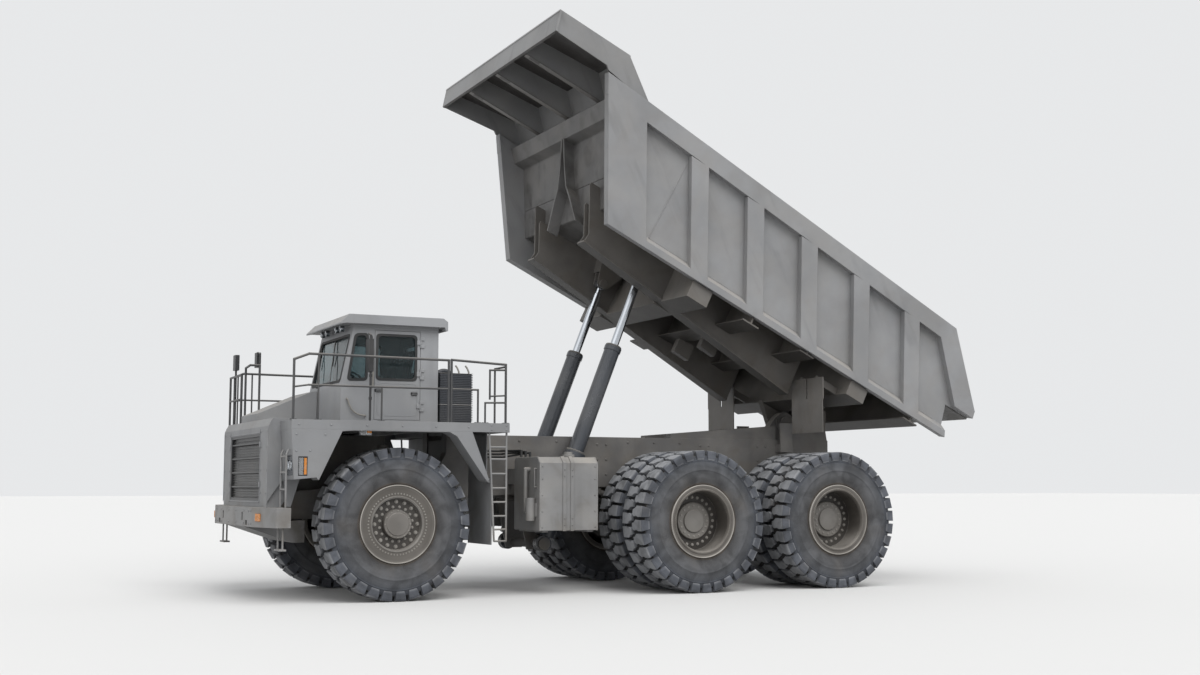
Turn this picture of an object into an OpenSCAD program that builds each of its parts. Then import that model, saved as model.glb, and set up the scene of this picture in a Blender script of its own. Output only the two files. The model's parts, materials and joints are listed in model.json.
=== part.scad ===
// Three-axle rigid mining dump truck, load body raised.
// Millimetres. X forward, Y to the truck's left, Z up, ground at Z 0.
// Every module below is drawn from the front axle: X 0 is the front axle's line.

/* [Axles and wheels] */
// Front axle's place ahead of the truck's middle
axle_front_x = 5180; // [5000:10:5400]
// From the front axle back to the middle axle
axle_mid_gap = 5856; // [5700:1:6000]
// From the front axle back to the rear axle
axle_rear_gap = 8968; // [8800:1:9100]
// Tyre's radius to the lugs' tips
tyre_r = 1350; // [1320:1:1370]
// Tyre's width
tyre_w = 810; // [780:1:830]
// Lug height over the carcass
lug_h = 70; // [50:1:85]
// Lugs on each shoulder ring
lug_count = 24; // [20:2:30]
// Half of a lug's top, as an angle in degrees
lug_half_deg = 4.7; // [3:0.1:5.4]
// Groove between the two lug rings
centre_groove = 60; // [30:1:100]
// Radius of the rim's bead seat
rim_r = 622; // [600:1:640]
// Rim barrel's wall
rim_wall = 30; // [20:1:45]
// Rim flange's radius
flange_r = 690; // [670:1:710]
// Rim flange's outer face from the tyre's middle
flange_y = 375; // [360:1:395]
// Middle of the front tyre from the truck's centre line
front_wheel_y = 1938; // [1920:1:1960]
// Middle of the outer rear tyre
outer_wheel_y = 2530; // [2520:1:2560]
// Middle of the inner rear tyre
inner_wheel_y = 1515; // [1490:1:1525]
// Front rim's recess radius
front_recess_r = 460; // [430:1:500]
// Depth of the front rim's recess
front_recess_d = 120; // [80:1:160]
// Hub boss radius of the front rim
front_boss_r = 250; // [220:1:280]
// Opening radius of the rear rim's dish
dish_r = 560; // [520:1:580]
// Depth of the rear rim's dish
dish_d = 430; // [400:1:460]
// Hub cap radius of the rear wheels
hub_cap_r = 360; // [320:1:390]
// Depth of the hub cap's face inside the rear rim
hub_cap_d = 370; // [340:1:390]
// Spindle radius of the front wheels
front_spindle_r = 118; // [100:1:130]
// Spindle radius of the rear wheels
rear_spindle_r = 200; // [180:1:220]
// Running gap of a wheel on its spindle
spindle_gap = 3; // [2:0.5:4]

/* [Steering] */
// Kingpin's distance from the centre line
kingpin_y = 1390; // [1370:1:1395]
// Strut housing radius
strut_r = 100; // [90:1:108]
// Strut rod radius, on which the knuckle turns
kingpin_r = 70; // [60:1:80]
// Knuckle boss radius
knuckle_r = 130; // [115:1:135]
// Underside of the knuckle boss
knuckle_z0 = 1050; // [1040:1:1080]
// Top of the knuckle boss
knuckle_z1 = 1700; // [1650:1:1740]
// Steering arm's length, straight back from the kingpin
steer_arm = 450; // [400:1:500]
// Tie rod radius
tie_rod_r = 38; // [30:1:45]

/* [Frame] */
// Inner face of a frame rail
rail_in_y = 420; // [400:1:440]
// Outer face of a frame rail
rail_out_y = 680; // [660:1:700]
// Wall of the box rails
rail_wall = 40; // [25:1:60]
// Top of the rails behind the cab
rail_top_z = 3000; // [2960:1:3020]
// Underside of the rails at the rear axles
rail_bot_z = 2000; // [1960:1:2060]
// Front end of the rails
rail_front_x = 1900; // [1850:1:1925]
// Rear end of the rails
rail_rear_x = -10300; // [-10400:1:-10250]
// Bed pivot behind the front axle
pivot_x = -9950; // [-9960:1:-9940]
// Height of the bed pivot
pivot_z = 3440; // [3430:1:3450]
// Bed pivot shaft radius
pivot_r = 110; // [95:1:120]
// Cross tube radius at the hoists' feet
foot_tube_r = 90; // [80:1:95]

/* [Bumper and hood] */
// Bumper's front face ahead of the front axle
bumper_x = 2400; // [2380:1:2410]
// Half width of the bumper's flat front
bumper_front_y = 1550; // [1500:1:1600]
// Half width of the bumper over its corners
bumper_half_w = 2500; // [2450:1:2540]
// Bumper's underside
bumper_z0 = 1310; // [1290:1:1340]
// Bumper's top
bumper_z1 = 1650; // [1630:1:1655]
// Hood's front face ahead of the front axle
hood_x = 2200; // [2180:1:2220]
// Hood's back face
hood_back_x = 1700; // [1690:1:1740]
// Half width of the hood
hood_half_w = 1810; // [1790:1:1820]
// Top of the hood
hood_top_z = 3200; // [3190:1:3230]
// Half width of the grille opening
grille_half_w = 1191; // [1150:1:1220]
// Lower edge of the grille opening
grille_z0 = 1760; // [1740:1:1780]
// Upper edge of the grille opening
grille_z1 = 2940; // [2900:1:2960]
// Depth of the grille opening
grille_depth = 90; // [70:1:140]
// Bars across the grille
grille_bars = 4; // [3:1:7]

/* [Deck and fenders] */
// Top of the deck
deck_z = 3150; // [3140:1:3160]
// Half width of the deck
deck_half_w = 2560; // [2550:1:2600]
// Front edge of the deck
deck_front_x = 1990; // [1970:1:2000]
// Rear edge of the deck
deck_rear_x = -2010; // [-2040:1:-1990]
// Deck plate's thickness
deck_t = 45; // [30:1:60]
// Underside of the deck's edge band
band_z = 2985; // [2975:1:3000]
// Thickness of the edge band and fender plates
plate_t = 40; // [25:1:50]
// Handrail tube radius
tube_r = 22; // [16:1:28]
// Height of the top handrail above the deck
rail_h = 1130; // [1050:1:1180]
// Height of the middle handrail above the deck
mid_rail_h = 595; // [500:1:650]

/* [Cab] */
// Cab's outer side
cab_left_y = 1850; // [1840:1:1860]
// Cab's inner side
cab_right_y = -250; // [-270:1:-230]
// Cab's rear face
cab_rear_x = -880; // [-890:1:-870]
// Cab's front face at the windscreen's foot
cab_front_x = 945; // [935:1:955]
// Cab's front edge under the roof
cab_top_x = 725; // [715:1:735]
// Height where the windscreen's slope starts
cab_knee_z = 3800; // [3790:1:3810]
// Top of the cab's walls
cab_top_z = 4862; // [4855:1:4870]
// Thickness of the cab's walls and door
cab_wall = 60; // [50:1:70]
// Top of the roof
roof_z = 5070; // [5060:1:5080]
// Door's rear edge, where it is hinged
door_rear_x = -539; // [-545:1:-530]
// Door's front edge
door_front_x = 330; // [320:1:340]
// Gap round the door
door_gap = 6; // [5:0.5:8]
// Glass thickness
glass_t = 12; // [8:1:14]
// Gap round a fixed pane
pane_gap = 0.3; // [0.2:0.1:0.5]

/* [Tanks and air cleaner] */
// Front end of both tanks
tank_front_x = -2700; // [-2710:1:-2690]
// Rear end of both tanks
tank_rear_x = -3900; // [-3910:1:-3890]
// Inner face of a tank
tank_in_y = 1160; // [1155:1:1170]
// Outer face of a tank
tank_out_y = 2350; // [2330:1:2360]
// Underside of the tanks
tank_z0 = 1200; // [1190:1:1210]
// Top of the tanks
tank_z1 = 2555; // [2540:1:2570]
// Fins on the air cleaner
fin_count = 16; // [12:1:20]

/* [Load body] */
// Tilt of the load body in degrees, as photographed
bed_tilt = 26.3; // [26:0.1:26.5]
// Front of the bed's lower edge, ahead of the pivot
bed_front = 6889; // [6880:1:6895]
// Bed's lower edge above the pivot
bed_edge = 555; // [550:1:560]
// Half width of the bed over its lower edge
bed_half_w = 2530; // [2520:1:2540]
// Outward lean of the side walls in degrees
bed_lean = 7.09; // [7:0.01:7.2]
// How far ribs and rails stand out from the side sheet
rib_proud = 150; // [120:1:160]
// Thickness of the bed's sheets
sheet_t = 40; // [30:1:50]
// Floor's underside over the lower edge
floor_w = 660; // [650:1:670]
// Floor plate's thickness
floor_t = 60; // [50:1:70]
// Ribs on each side wall
rib_count = 5; // [4:1:5]
// Spacing of the ribs
rib_pitch = 1423; // [1415:1:1430]
// Width of a rib along the lower edge
rib_w = 432; // [400:1:450]
// Front wall's outer face behind the body's lower corner, carried down to the edge
wall_in = 441; // [435:1:450]
// Front wall's lean forward, as run over rise
wall_run = 0.4715; // [0.468:0.0005:0.475]
// How far the wall's wishbone plates and the beams' front ends stand ahead of it
wishbone_d = 257; // [240:1:260]
// Half width of the canopy's front lip
canopy_half_w = 3060; // [3050:1:3070]
// Inner web of a main beam under the floor
beam_in_y = 1100; // [1095:1:1105]
// Outer web of a main beam
beam_out_y = 1360; // [1350:1:1370]

/* [Hoists] */
// Hoist's distance from the centre line
hoist_y = 900; // [895:1:905]
// Lean back of the raised hoists in degrees
hoist_lean = 21.71; // [21.6:0.01:21.8]
// Raised length from foot to eye
hoist_len = 5866; // [5860:1:5870]
// Rod's eye behind the body's lower front corner
eye_u = 1672.99; // [1670:0.1:1676]
// Rod's eye over the body's lower edge
eye_w = 113.00; // [110:0.1:116]
// Outer barrel radius
barrel_r = 200; // [190:1:205]
// Top of the outer barrel along the hoist
barrel_top = 1900; // [1850:1:1920]
// Middle tube radius
stage_r = 160; // [150:1:165]
// Foot of the middle tube along the raised hoist
stage_foot = 1705; // [1690:1:1720]
// Top of the middle tube along the raised hoist
stage_top = 4200; // [4150:1:4250]
// Rod radius
rod_r = 85; // [75:1:90]
// Foot of the rod along the raised hoist
rod_foot = 3950; // [3900:1:4000]
// Running gap in the glands
gland_gap = 2.5; // [2:0.5:4]

/* [Hidden] */
$fn = 64;
eps = 0.3;
pitch_deg = 360 / lug_count;
lug_turn = pitch_deg / 4;
axle_z = tyre_r * cos(lug_turn - lug_half_deg);
carcass_r = tyre_r - lug_h;
bead_r = rim_r + eps;
mid_x = -axle_mid_gap;
rear_x = -axle_rear_gap;
wall_shift = 2515;
post_slope = 1396 / 2515;
tail_bx = (-12760 - pivot_x + (bed_edge + 831 + (rib_proud + sheet_t) * sin(bed_lean)) * sin(bed_tilt))
    / cos(bed_tilt);
tail_u = bed_front - tail_bx;
inner_y = bed_half_w - (rib_proud + sheet_t) / cos(bed_lean);
wall_low = floor_w - 20;
eye_x = pivot_x + (bed_front - eye_u) * cos(bed_tilt) - (bed_edge + eye_w) * sin(bed_tilt);
eye_z = pivot_z + (bed_front - eye_u) * sin(bed_tilt) + (bed_edge + eye_w) * cos(bed_tilt);
hoist_foot_x = eye_x + hoist_len * sin(hoist_lean);
hoist_foot_z = eye_z - hoist_len * cos(hoist_lean);

grey = [0.62, 0.62, 0.60];
dark = [0.20, 0.21, 0.22];
black = [0.10, 0.10, 0.11];
rubber = [0.16, 0.17, 0.18];
taupe = [0.52, 0.50, 0.46];
glass = [0.30, 0.42, 0.44, 0.5];
chrome = [0.85, 0.86, 0.88];
amber = [0.95, 0.62, 0.12];

// Helpers: a block between two corners, a side profile and a front profile
module block(x0, x1, y0, y1, z0, z1) translate([x0, y0, z0]) cube([x1 - x0, y1 - y0, z1 - z0]);
module side_form(pts, y0, y1) translate([0, y1, 0]) rotate([90, 0, 0]) linear_extrude(y1 - y0) polygon(pts);
module front_form(pts, x0, x1) translate([x0, 0, 0]) rotate([90, 0, 90]) linear_extrude(x1 - x0) polygon(pts);
module along_y() rotate([-90, 0, 0]) children();
module both_sides() {
    children();
    mirror([0, 1, 0]) children();
}
module truck() translate([axle_front_x, 0, 0]) children();
// A round bar from point a to point b
module bar(a, b, r) {
    d = b - a;
    len = norm(d);
    translate(a) rotate([0, acos(d[2] / len), atan2(d[1], d[0])]) cylinder(r = r, h = len, $fn = 16);
}
// A bent tube through a list of points, with round corners
module tube_path(pts, r) {
    for (i = [0 : len(pts) - 2]) bar(pts[i], pts[i + 1], r);
    for (i = [1 : 1 : len(pts) - 2]) translate(pts[i]) sphere(r = r + 1.5, $fn = 16);
}

// WHEELS
// Columns: share of the side wall's height, share of half the tyre's width
tyre_side = [[0, 0.72], [0.12, 0.87], [0.36, 0.985], [0.60, 1], [0.83, 0.965], [0.96, 0.89], [1, 0.80]];
function tyre_pt(row, side) = [bead_r + row[0] * (carcass_r - bead_r), side * row[1] * tyre_w / 2];
module lug_ring(turn) {
    difference() {
        rotate(turn) polygon([for (i = [0 : lug_count - 1]) for (k = [0 : 2])
            (k < 2 ? tyre_r : carcass_r - 30) * [cos(i * pitch_deg + [-lug_half_deg, lug_half_deg,
                pitch_deg / 2][k]),
            sin(i * pitch_deg + [-lug_half_deg, lug_half_deg, pitch_deg / 2][k])]]);
        circle(r = carcass_r - 130, $fn = 48);
    }
}
module tyre() {
    lug_w = tyre_w / 2 - 6 - centre_groove / 2;
    along_y() {
        rotate_extrude($fn = 72) polygon(concat([for (r = tyre_side) tyre_pt(r, 1)],
            [for (i = [len(tyre_side) - 1 : -1 : 0]) tyre_pt(tyre_side[i], -1)]));
        translate([0, 0, centre_groove / 2]) linear_extrude(lug_w) lug_ring(lug_turn);
        translate([0, 0, -centre_groove / 2 - lug_w]) linear_extrude(lug_w) lug_ring(-lug_turn);
    }
}
module front_tyre() {
    color(rubber) truck() translate([0, front_wheel_y, axle_z]) tyre();
}
module twin_tyres(x) {
    color(rubber) truck() for (y = [inner_wheel_y, outer_wheel_y]) translate([x, y, axle_z]) tyre();
}
module front_rim() {
    face = flange_y - front_recess_d;
    color(taupe) truck() translate([0, front_wheel_y, axle_z]) along_y() rotate_extrude($fn = 72) polygon([
        [0, flange_y - 10], [front_boss_r, flange_y - 10], [front_boss_r + 15, face],
            [front_recess_r - 15, face],
        [front_recess_r, flange_y - 25], [flange_r, flange_y], [flange_r, flange_y - 25],
            [rim_r, flange_y - 25],
        [rim_r, 25 - flange_y], [flange_r, 25 - flange_y], [flange_r, -flange_y], [rim_r - rim_wall, -flange_y],
        [rim_r - rim_wall, face - 50], [front_spindle_r + 100, face - 50], [front_spindle_r + 100, 60],
        [front_spindle_r + spindle_gap, 60], [front_spindle_r + spindle_gap, flange_y - 60],
            [0, flange_y - 60]]);
}
module twin_rim(x) {
    o = outer_wheel_y;
    n = inner_wheel_y;
    cap = o + flange_y - hub_cap_d;
    disc = o + flange_y - dish_d;
    f = flange_y;
    bore = rear_spindle_r + spindle_gap;
    color(taupe) truck() translate([x, 0, axle_z]) along_y() rotate_extrude($fn = 72) polygon([
        [0, cap], [hub_cap_r - 20, cap], [hub_cap_r, cap - 20], [hub_cap_r, disc], [dish_r, disc],
        [dish_r, o + f - 40], [dish_r + 25, o + f], [flange_r, o + f], [flange_r, o + f - 25],
            [rim_r, o + f - 25],
        [rim_r, o - f + 25], [flange_r, o - f + 25], [flange_r, o - f], [rim_r, o - f],
        [rim_r, n + f], [flange_r, n + f], [flange_r, n + f - 25], [rim_r, n + f - 25],
        [rim_r, n - f + 25], [flange_r, n - f + 25], [flange_r, n - f], [rim_r - rim_wall, n - f],
        [rim_r - rim_wall, disc - 60], [bore + 80, disc - 60], [bore + 80, n + f], [bore, n + f],
            [bore, cap - 60], [0, cap - 60]]);
}

// STEERING
module knuckle() {
    color(dark) truck() difference() {
        union() {
            translate([0, kingpin_y, knuckle_z0]) cylinder(r = knuckle_r, h = knuckle_z1 - knuckle_z0);
            // Spindle, brake housing and its back plate inside the rim
            translate([0, kingpin_y, axle_z]) along_y() cylinder(r = front_spindle_r,
                h = front_wheel_y + flange_y - 80 - kingpin_y);
            translate([0, kingpin_y + 60, axle_z]) along_y() cylinder(r1 = 200, r2 = 260, h = 130);
            translate([0, kingpin_y + 190, axle_z]) along_y() cylinder(r = 430, h = 170);
            // Steering arm, straight back
            block(-steer_arm, 0, kingpin_y - 55, kingpin_y + 55, knuckle_z0 + 65, knuckle_z0 + 120);
            translate([-steer_arm, kingpin_y, knuckle_z0 + 65]) cylinder(r = 75, h = 55);
        }
        translate([0, kingpin_y, knuckle_z0 + 40]) cylinder(r = kingpin_r + 2, h = knuckle_z1 - knuckle_z0);
    }
}
module tie_rod() {
    z = knuckle_z0 + 15;
    color(dark) truck() {
        bar([-steer_arm, -kingpin_y + 60, z], [-steer_arm, kingpin_y - 60, z], tie_rod_r);
        both_sides() translate([-steer_arm, kingpin_y, z - 35]) cylinder(r = 70, h = 78);
    }
}
module front_struts() {
    color(dark) truck() both_sides() {
        // Strut housing held in the frame's horn, rod below it
        translate([0, kingpin_y, knuckle_z1 + 60]) cylinder(r = strut_r, h = 1000);
        translate([0, kingpin_y, knuckle_z0 + 60]) cylinder(r = kingpin_r, h = knuckle_z1 - knuckle_z0 + 60);
        for (z = [1800, 2240]) translate([0, kingpin_y, z]) cylinder(r = strut_r + 28, h = 120);
        side_form([[-230, 1760], [230, 1760], [200, 2400],
            [-200, 2400]], rail_out_y + eps, kingpin_y - strut_r + 20);
    }
}

// FRAME
frame_side = [[rail_front_x, 1420], [rail_front_x, 1640], [1650, 1900], [-1250, 2180], [-1650, rail_top_z],
    [rail_rear_x, rail_top_z], [rail_rear_x, 2500], [-9700, 2150], [-8000, rail_bot_z], [-4500, rail_bot_z],
    [-4400, 1950], [-1900, 1800], [-1300, 1560], [900, 1420]];
module rail_box() {
    difference() {
        side_form(frame_side, rail_in_y, rail_out_y);
        // Hollow along the straight rear run
        block(-9500, -1900, rail_in_y + rail_wall, rail_out_y - rail_wall, rail_bot_z + rail_wall + 160,
            rail_top_z - rail_wall);
    }
}
module frame() {
    color(grey) truck() {
        both_sides() {
            rail_box();
            // Wedge plates that lift toward the pivot, where the bed's pads rest
            side_form([[-6400, rail_top_z], [-6400, rail_top_z + 90], [-8970, rail_top_z + 300],
                [-8970, rail_top_z]], rail_in_y + 40, rail_out_y - 20);
            // Pivot ears on the rails
            difference() {
                union() {
                    side_form([[pivot_x - 340, rail_top_z - 40], [pivot_x + 700, rail_top_z - 40],
                        [pivot_x + 240, pivot_z + 90], [pivot_x + 110, pivot_z + 190],
                        [pivot_x - 110, pivot_z + 190],
                        [pivot_x - 240, pivot_z + 90]], rail_in_y + 60, rail_out_y);
                    translate([pivot_x, rail_in_y + 40, pivot_z]) along_y() cylinder(r = 220,
                        h = rail_out_y - rail_in_y - 38);
                }
                translate([pivot_x, 0, pivot_z]) along_y() cylinder(r = pivot_r, h = rail_out_y + 60);
            }
            translate([pivot_x, rail_in_y - 10, pivot_z]) along_y() cylinder(r = pivot_r, h = 510);
            // Deep gussets that hold the hoists' cross tube
            side_form([[hoist_foot_x + 420, rail_bot_z], [hoist_foot_x + 170, hoist_foot_z - 120],
                [hoist_foot_x - 170, hoist_foot_z - 120], [hoist_foot_x - 520, rail_bot_z]], 500, 560);
            // Side posts by the rear axle
            block(-9250, -8950, rail_out_y, 890, 2730, 2900);
            block(-9250, -8950, 850, 890, 2730, 3350);
            // Uprights under the cab deck
            block(-1700, -1480, rail_in_y, rail_out_y, rail_top_z - 400, band_z + 80);
        }
        // Hoists' cross tube and its end collars
        translate([hoist_foot_x, -1010, hoist_foot_z]) along_y() cylinder(r = foot_tube_r, h = 2020);
        both_sides() translate([hoist_foot_x, hoist_y + 90,
            hoist_foot_z]) along_y() cylinder(r = foot_tube_r + 30, h = 30);
        // Cross members: columns are front, rear, bottom, top
        for (m = [[1500, 1250, 1450, 1950], [150, -150, 1520, 1950], [-1500, -1700, 2350, 2900],
            [-2350, -2600, 2050, 2900],
                [-4300, -4550, 2050, 2900], [-7200, -7600, 2050, 2800], [-10050, -10250, 2560, 2950]])
            block(m[1], m[0], -rail_in_y - 20, rail_in_y + 20, m[2], m[3]);
        // Tow hitch block at the tail, with a bore for its pin
        difference() {
            block(rail_rear_x - 260, rail_rear_x + 20, -150, 150, 2560, 2860);
            block(rail_rear_x - 300, rail_rear_x - 60, -200, 200, 2650, 2770);
            translate([rail_rear_x - 160, 0, 2500]) cylinder(r = 40, h = 500);
        }
        block(rail_rear_x, rail_rear_x + 60, -rail_in_y - 40, rail_in_y + 40, 2530, 2980);
    }
}

// FRONT
module bumper() {
    color(grey) truck() {
        difference() {
            union() {
                translate([0, 0, bumper_z0]) linear_extrude(bumper_z1 - bumper_z0) polygon([[bumper_x,
                    -bumper_front_y], [bumper_x, bumper_front_y],
                    [bumper_x - 200, bumper_half_w], [1950, bumper_half_w], [1950, -bumper_half_w],
                        [bumper_x - 200, -bumper_half_w]]);
                // Skid wedge below, sloping back
                side_form([[bumper_x - 20, bumper_z0 + 1], [1480, 1000], [1260, 1000], [1260, 1400],
                    [1400, 1400], [1950, bumper_z0 + 60]], -780, 780);
            }
            // Lamp pockets and the dark square between them
            both_sides() translate([bumper_x - 80, 1800, 1480]) rotate([0, 0, 12.5]) cube([200, 190, 130],
                center = true);
            both_sides() block(bumper_x - 60, bumper_x + 10, 750, 850, 1420, 1560);
            // Tow eyes: a slot in the bumper with an upright pin bore
            both_sides() block(bumper_x - 150, bumper_x + 10, 1050, 1200, 1340, 1420);
            both_sides() translate([bumper_x - 70, 1125, bumper_z0 - 10]) cylinder(r = 30, h = bumper_z1);
        }
        // Stirrup steps at the corners
        both_sides() for (y = [2060, 2400]) bar([2060, y, bumper_z0 + 20], [2060, y, 940], 16);
        both_sides() block(2000, 2120, 2044, 2416, 920, 950);
        // Brackets that hold the bumper on the rails
        both_sides() block(rail_front_x + eps, 1960, rail_in_y, rail_out_y, 1450, 1640);
    }
}
module hood() {
    color(grey) truck() {
        difference() {
            side_form([[hood_x, bumper_z1 + eps], [hood_x, hood_top_z - 140], [hood_x - 70, hood_top_z],
                [hood_back_x, hood_top_z],
                [hood_back_x, 2000], [1960, bumper_z1 + eps]], -hood_half_w, hood_half_w);
            block(hood_x - grille_depth, hood_x + 10, -grille_half_w, grille_half_w, grille_z0, grille_z1);
            // Lower corners cut away behind the ladders
            both_sides() side_form([[1900, 1600], [2300, 1600], [1960, 2100],
                [1600, 2100]], hood_half_w - 60, hood_half_w + 10);
        }
        // Sloping cover in front of the windscreen
        difference() {
            side_form([[2060, hood_top_z - 20], [2060, hood_top_z + 140], [1060, 3770],
                [cab_front_x + 20, 3770], [cab_front_x + 20, deck_z + eps],
                [hood_back_x - eps, deck_z + eps], [hood_back_x, hood_top_z - 20]], -1000, 350);
            // Chamfer along the cover's left edge
            translate([0, 350, 0]) side_form([[2100, 3300], [2100, 3600], [1300, 3800], [900, 3800],
                [900, 3720]], -1, 0);
        }
    }
}
module grille() {
    rows = grille_bars;
    h = (grille_z1 - grille_z0 - 2 * eps);
    color(black) truck() difference() {
        union() {
            block(hood_x - grille_depth + eps, hood_x - grille_depth + 30, -grille_half_w + eps,
                grille_half_w - eps, grille_z0 + eps, grille_z1 - eps);
            // Edge frame, then wide bars with fine slats between
            difference() {
                block(hood_x - grille_depth + 20, hood_x - 8, -grille_half_w + eps, grille_half_w - eps,
                    grille_z0 + eps, grille_z1 - eps);
                block(hood_x - grille_depth + 10, hood_x, -grille_half_w + 45, grille_half_w - 45,
                    grille_z0 + 45, grille_z1 - 45);
            }
            for (i = [1 : rows]) {
                z = grille_z0 + i * h / (rows + 0.55) - 20;
                side_form([[hood_x - grille_depth + 20, z - 24], [hood_x - 14, z - 6],
                    [hood_x - 14, z + 20],
                    [hood_x - grille_depth + 20, z + 28]], -grille_half_w + 30, grille_half_w - 30);
            }
            for (z = [grille_z0 + 70 : 46 : grille_z1 - 60])
                side_form([[hood_x - grille_depth + 20, z - 10], [hood_x - 42, z - 16],
                    [hood_x - 42, z - 8],
                    [hood_x - grille_depth + 20, z + 8]], -grille_half_w + 40, grille_half_w - 40);
        }
    }
}
module engine() {
    color(dark) truck() {
        block(-350, 1550, -380, 380, 1950 + eps, 2960);
        block(-1450, -340, -330, 330, 1970, 2500);
    }
}

// DECK
module deck() {
    color(grey) truck() difference() {
        union() {
            block(deck_rear_x, deck_front_x, -deck_half_w, deck_half_w, deck_z - deck_t, deck_z);
            difference() {
                block(deck_rear_x, deck_front_x, -deck_half_w, deck_half_w, band_z, deck_z - 5);
                block(deck_rear_x + plate_t, deck_front_x - plate_t, -deck_half_w + plate_t,
                    deck_half_w - plate_t, band_z - 5, deck_z);
            }
            // Cross bearers under the plate
            for (x = [1250, 350, -550, -1560]) block(x - 50, x + 50, -deck_half_w + 10, deck_half_w - 10,
                band_z + 15, deck_z - 10);
            // Rear end boxes over the ladders
            both_sides() block(deck_rear_x, -1600, 2100, deck_half_w, band_z, deck_z - 5);
        }
        // Room for the hood
        block(hood_back_x - eps, deck_front_x + 10, -hood_half_w - eps, hood_half_w + eps, band_z - 10,
            deck_z + 10);
        // Room for the frame's uprights and the rails
        both_sides() block(-1720, -1460, rail_in_y - 10, rail_out_y + 10, band_z - 10, band_z + 80.3);
        block(-3000, -1590, -rail_out_y - 10, rail_out_y + 10, band_z - 10, rail_top_z + 10);
    }
}
// Fender: front box, arch lip and rear brace with the mudguard
module fender() {
    s = deck_half_w;
    color(grey) truck() {
        difference() {
            side_form([[deck_front_x, band_z - eps], [deck_front_x - 60, 2128], [1541, 2165],
                [1139, band_z - eps]], hood_half_w + 20, s);
            side_form([[deck_front_x - plate_t, band_z + 10],
                [deck_front_x - 60 - plate_t, 2128 + plate_t], [1541 + 20, 2165 + plate_t],
                [1139 + 50, band_z + 10]], hood_half_w - 10, s - plate_t);
            // Headlamp recess with the lamp's face inside
            block(1890, deck_front_x + 10, 2060, s - 60, 2200, 2540);
            block(1700, 1860 + eps, s - 60, s + 10, 2190, 2520);
        }
        // Arch lip behind the outer sheet
        side_form([[1139, band_z - eps], [1541, 2165], [1500, 2120], [1100, 2960], [900, 2975],
            [-880, 2975], [-866, band_z - eps]], 2160, s);
        // Rear brace and mudguard plate
        side_form([[-840, band_z - eps], [-1290, band_z - eps], [-1622, 2120], [-1560, 2120],
            [-1000, 2900]], 2160, s);
        side_form([[-1560, 2125], [-1622, 2125], [-1722, 2180], [-1722, 965], [-1700, 965],
            [-1700, 2060]], 2160, 2440);
        block(-1722, -1700, 1300, 2440, 965, 2180);
        block(-1722, -1700, 1300, 2200, 2170, band_z - eps);
        // Lower bracket ahead of the wheel, down to the bumper
        side_form([[1930, 2140], [1880, 1660], [1800, 1660], [1640, 2170]], hood_half_w + 20, hood_half_w + 60);
    }
}
module ladders() {
    color(grey) truck() both_sides() {
        // Front ladder between bumper and deck
        for (y = [2060, 2420]) tube_path([[2030, y, bumper_z1 + eps], [2030, y, 2560], [1995, y, 2640]], 17);
        for (z = [1960, 2250, 2520]) bar([2030, 2060, z], [2030, 2420, z], 17);
        // Side ladder behind the mudguard
        bar([-1640, 2490, band_z - 1.5], [-1745, 2490, 1022], 19);
        bar([-1977, 2490, band_z - eps], [-1977, 2490, 1022], 19);
        for (z = [2720, 2502, 2240, 1982, 1730, 1480, 1240, 1030])
            bar([-1640 - (band_z - z) * 0.0535, 2490, z], [-1977, 2490, z], 17);
    }
}

// HANDRAILS
module side_rails() {
    y = deck_half_w - 30;
    z0 = deck_z + eps;
    zt = deck_z + rail_h;
    zm = deck_z + mid_rail_h;
    tube_path([[1960, y, z0], [1960, y, zt - 103], [1700, y, zt], [-838, y, zt - 20], [-838, y, z0]], tube_r);
    bar([1960, y, zm - 40], [1700, y, zm], tube_r - 6);
    bar([1710, y, zm], [-838, y, zm], tube_r - 4);
    bar([1530, y, z0], [1530, y, zt], tube_r - 6);
    bar([400, y, z0], [400, y, zm], tube_r - 6);
    tube_path([[-890, y, z0], [-890, y, zt - 10], [-1940, y, zt - 60], [-1940, y, z0]], tube_r);
    tube_path([[-890, y, zm], [-1400, y, zm], [-1400, y, z0]], tube_r - 4);
    // Gate at the ladder
    tube_path([[-1629, y, zm - 170], [-1629, y, zt - 170], [-1940, y, zt - 160]], tube_r - 4);
    bar([-1629, y, zm - 110], [-1940, y, zm - 90], tube_r - 7);
    tube_path([[-1540, y, z0], [-1540, y, zm - 230], [-1940, y, zm - 220]], tube_r - 5);
    // Rear rail in front of the body
    tube_path([[-1940, y, zt - 100], [-1940, 2000, zt - 100], [-1940, 2000, z0]], tube_r - 3);
}
module handrail_left() {
    color(black) truck() side_rails();
}
module handrail_right() {
    z0 = deck_z + eps;
    zt = deck_z + rail_h;
    color(black) truck() {
        mirror([0, 1, 0]) side_rails();
        // Rail across the right half of the deck's front
        bar([1960, -2530, zt - 103], [1960, -1520, zt - 103], tube_r - 1);
        bar([1960, -2530, deck_z + mid_rail_h - 40], [1960, -1520, deck_z + mid_rail_h - 40], tube_r - 5);
        for (y = [-2180, -1850]) bar([1960, y, z0], [1960, y, zt - 103], tube_r - 7);
        bar([1960, -1520, hood_top_z + eps], [1960, -1520, zt - 75], tube_r + 2);
        // Raised loop beside the hood cover
        tube_path([[1900, -1450, hood_top_z + eps], [1900, -1450, zt + 30], [1900, -1060, zt + 60],
            [1720, -1060, zt + 60], [1720, -1060, hood_top_z + eps]], tube_r);
    }
}

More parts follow.
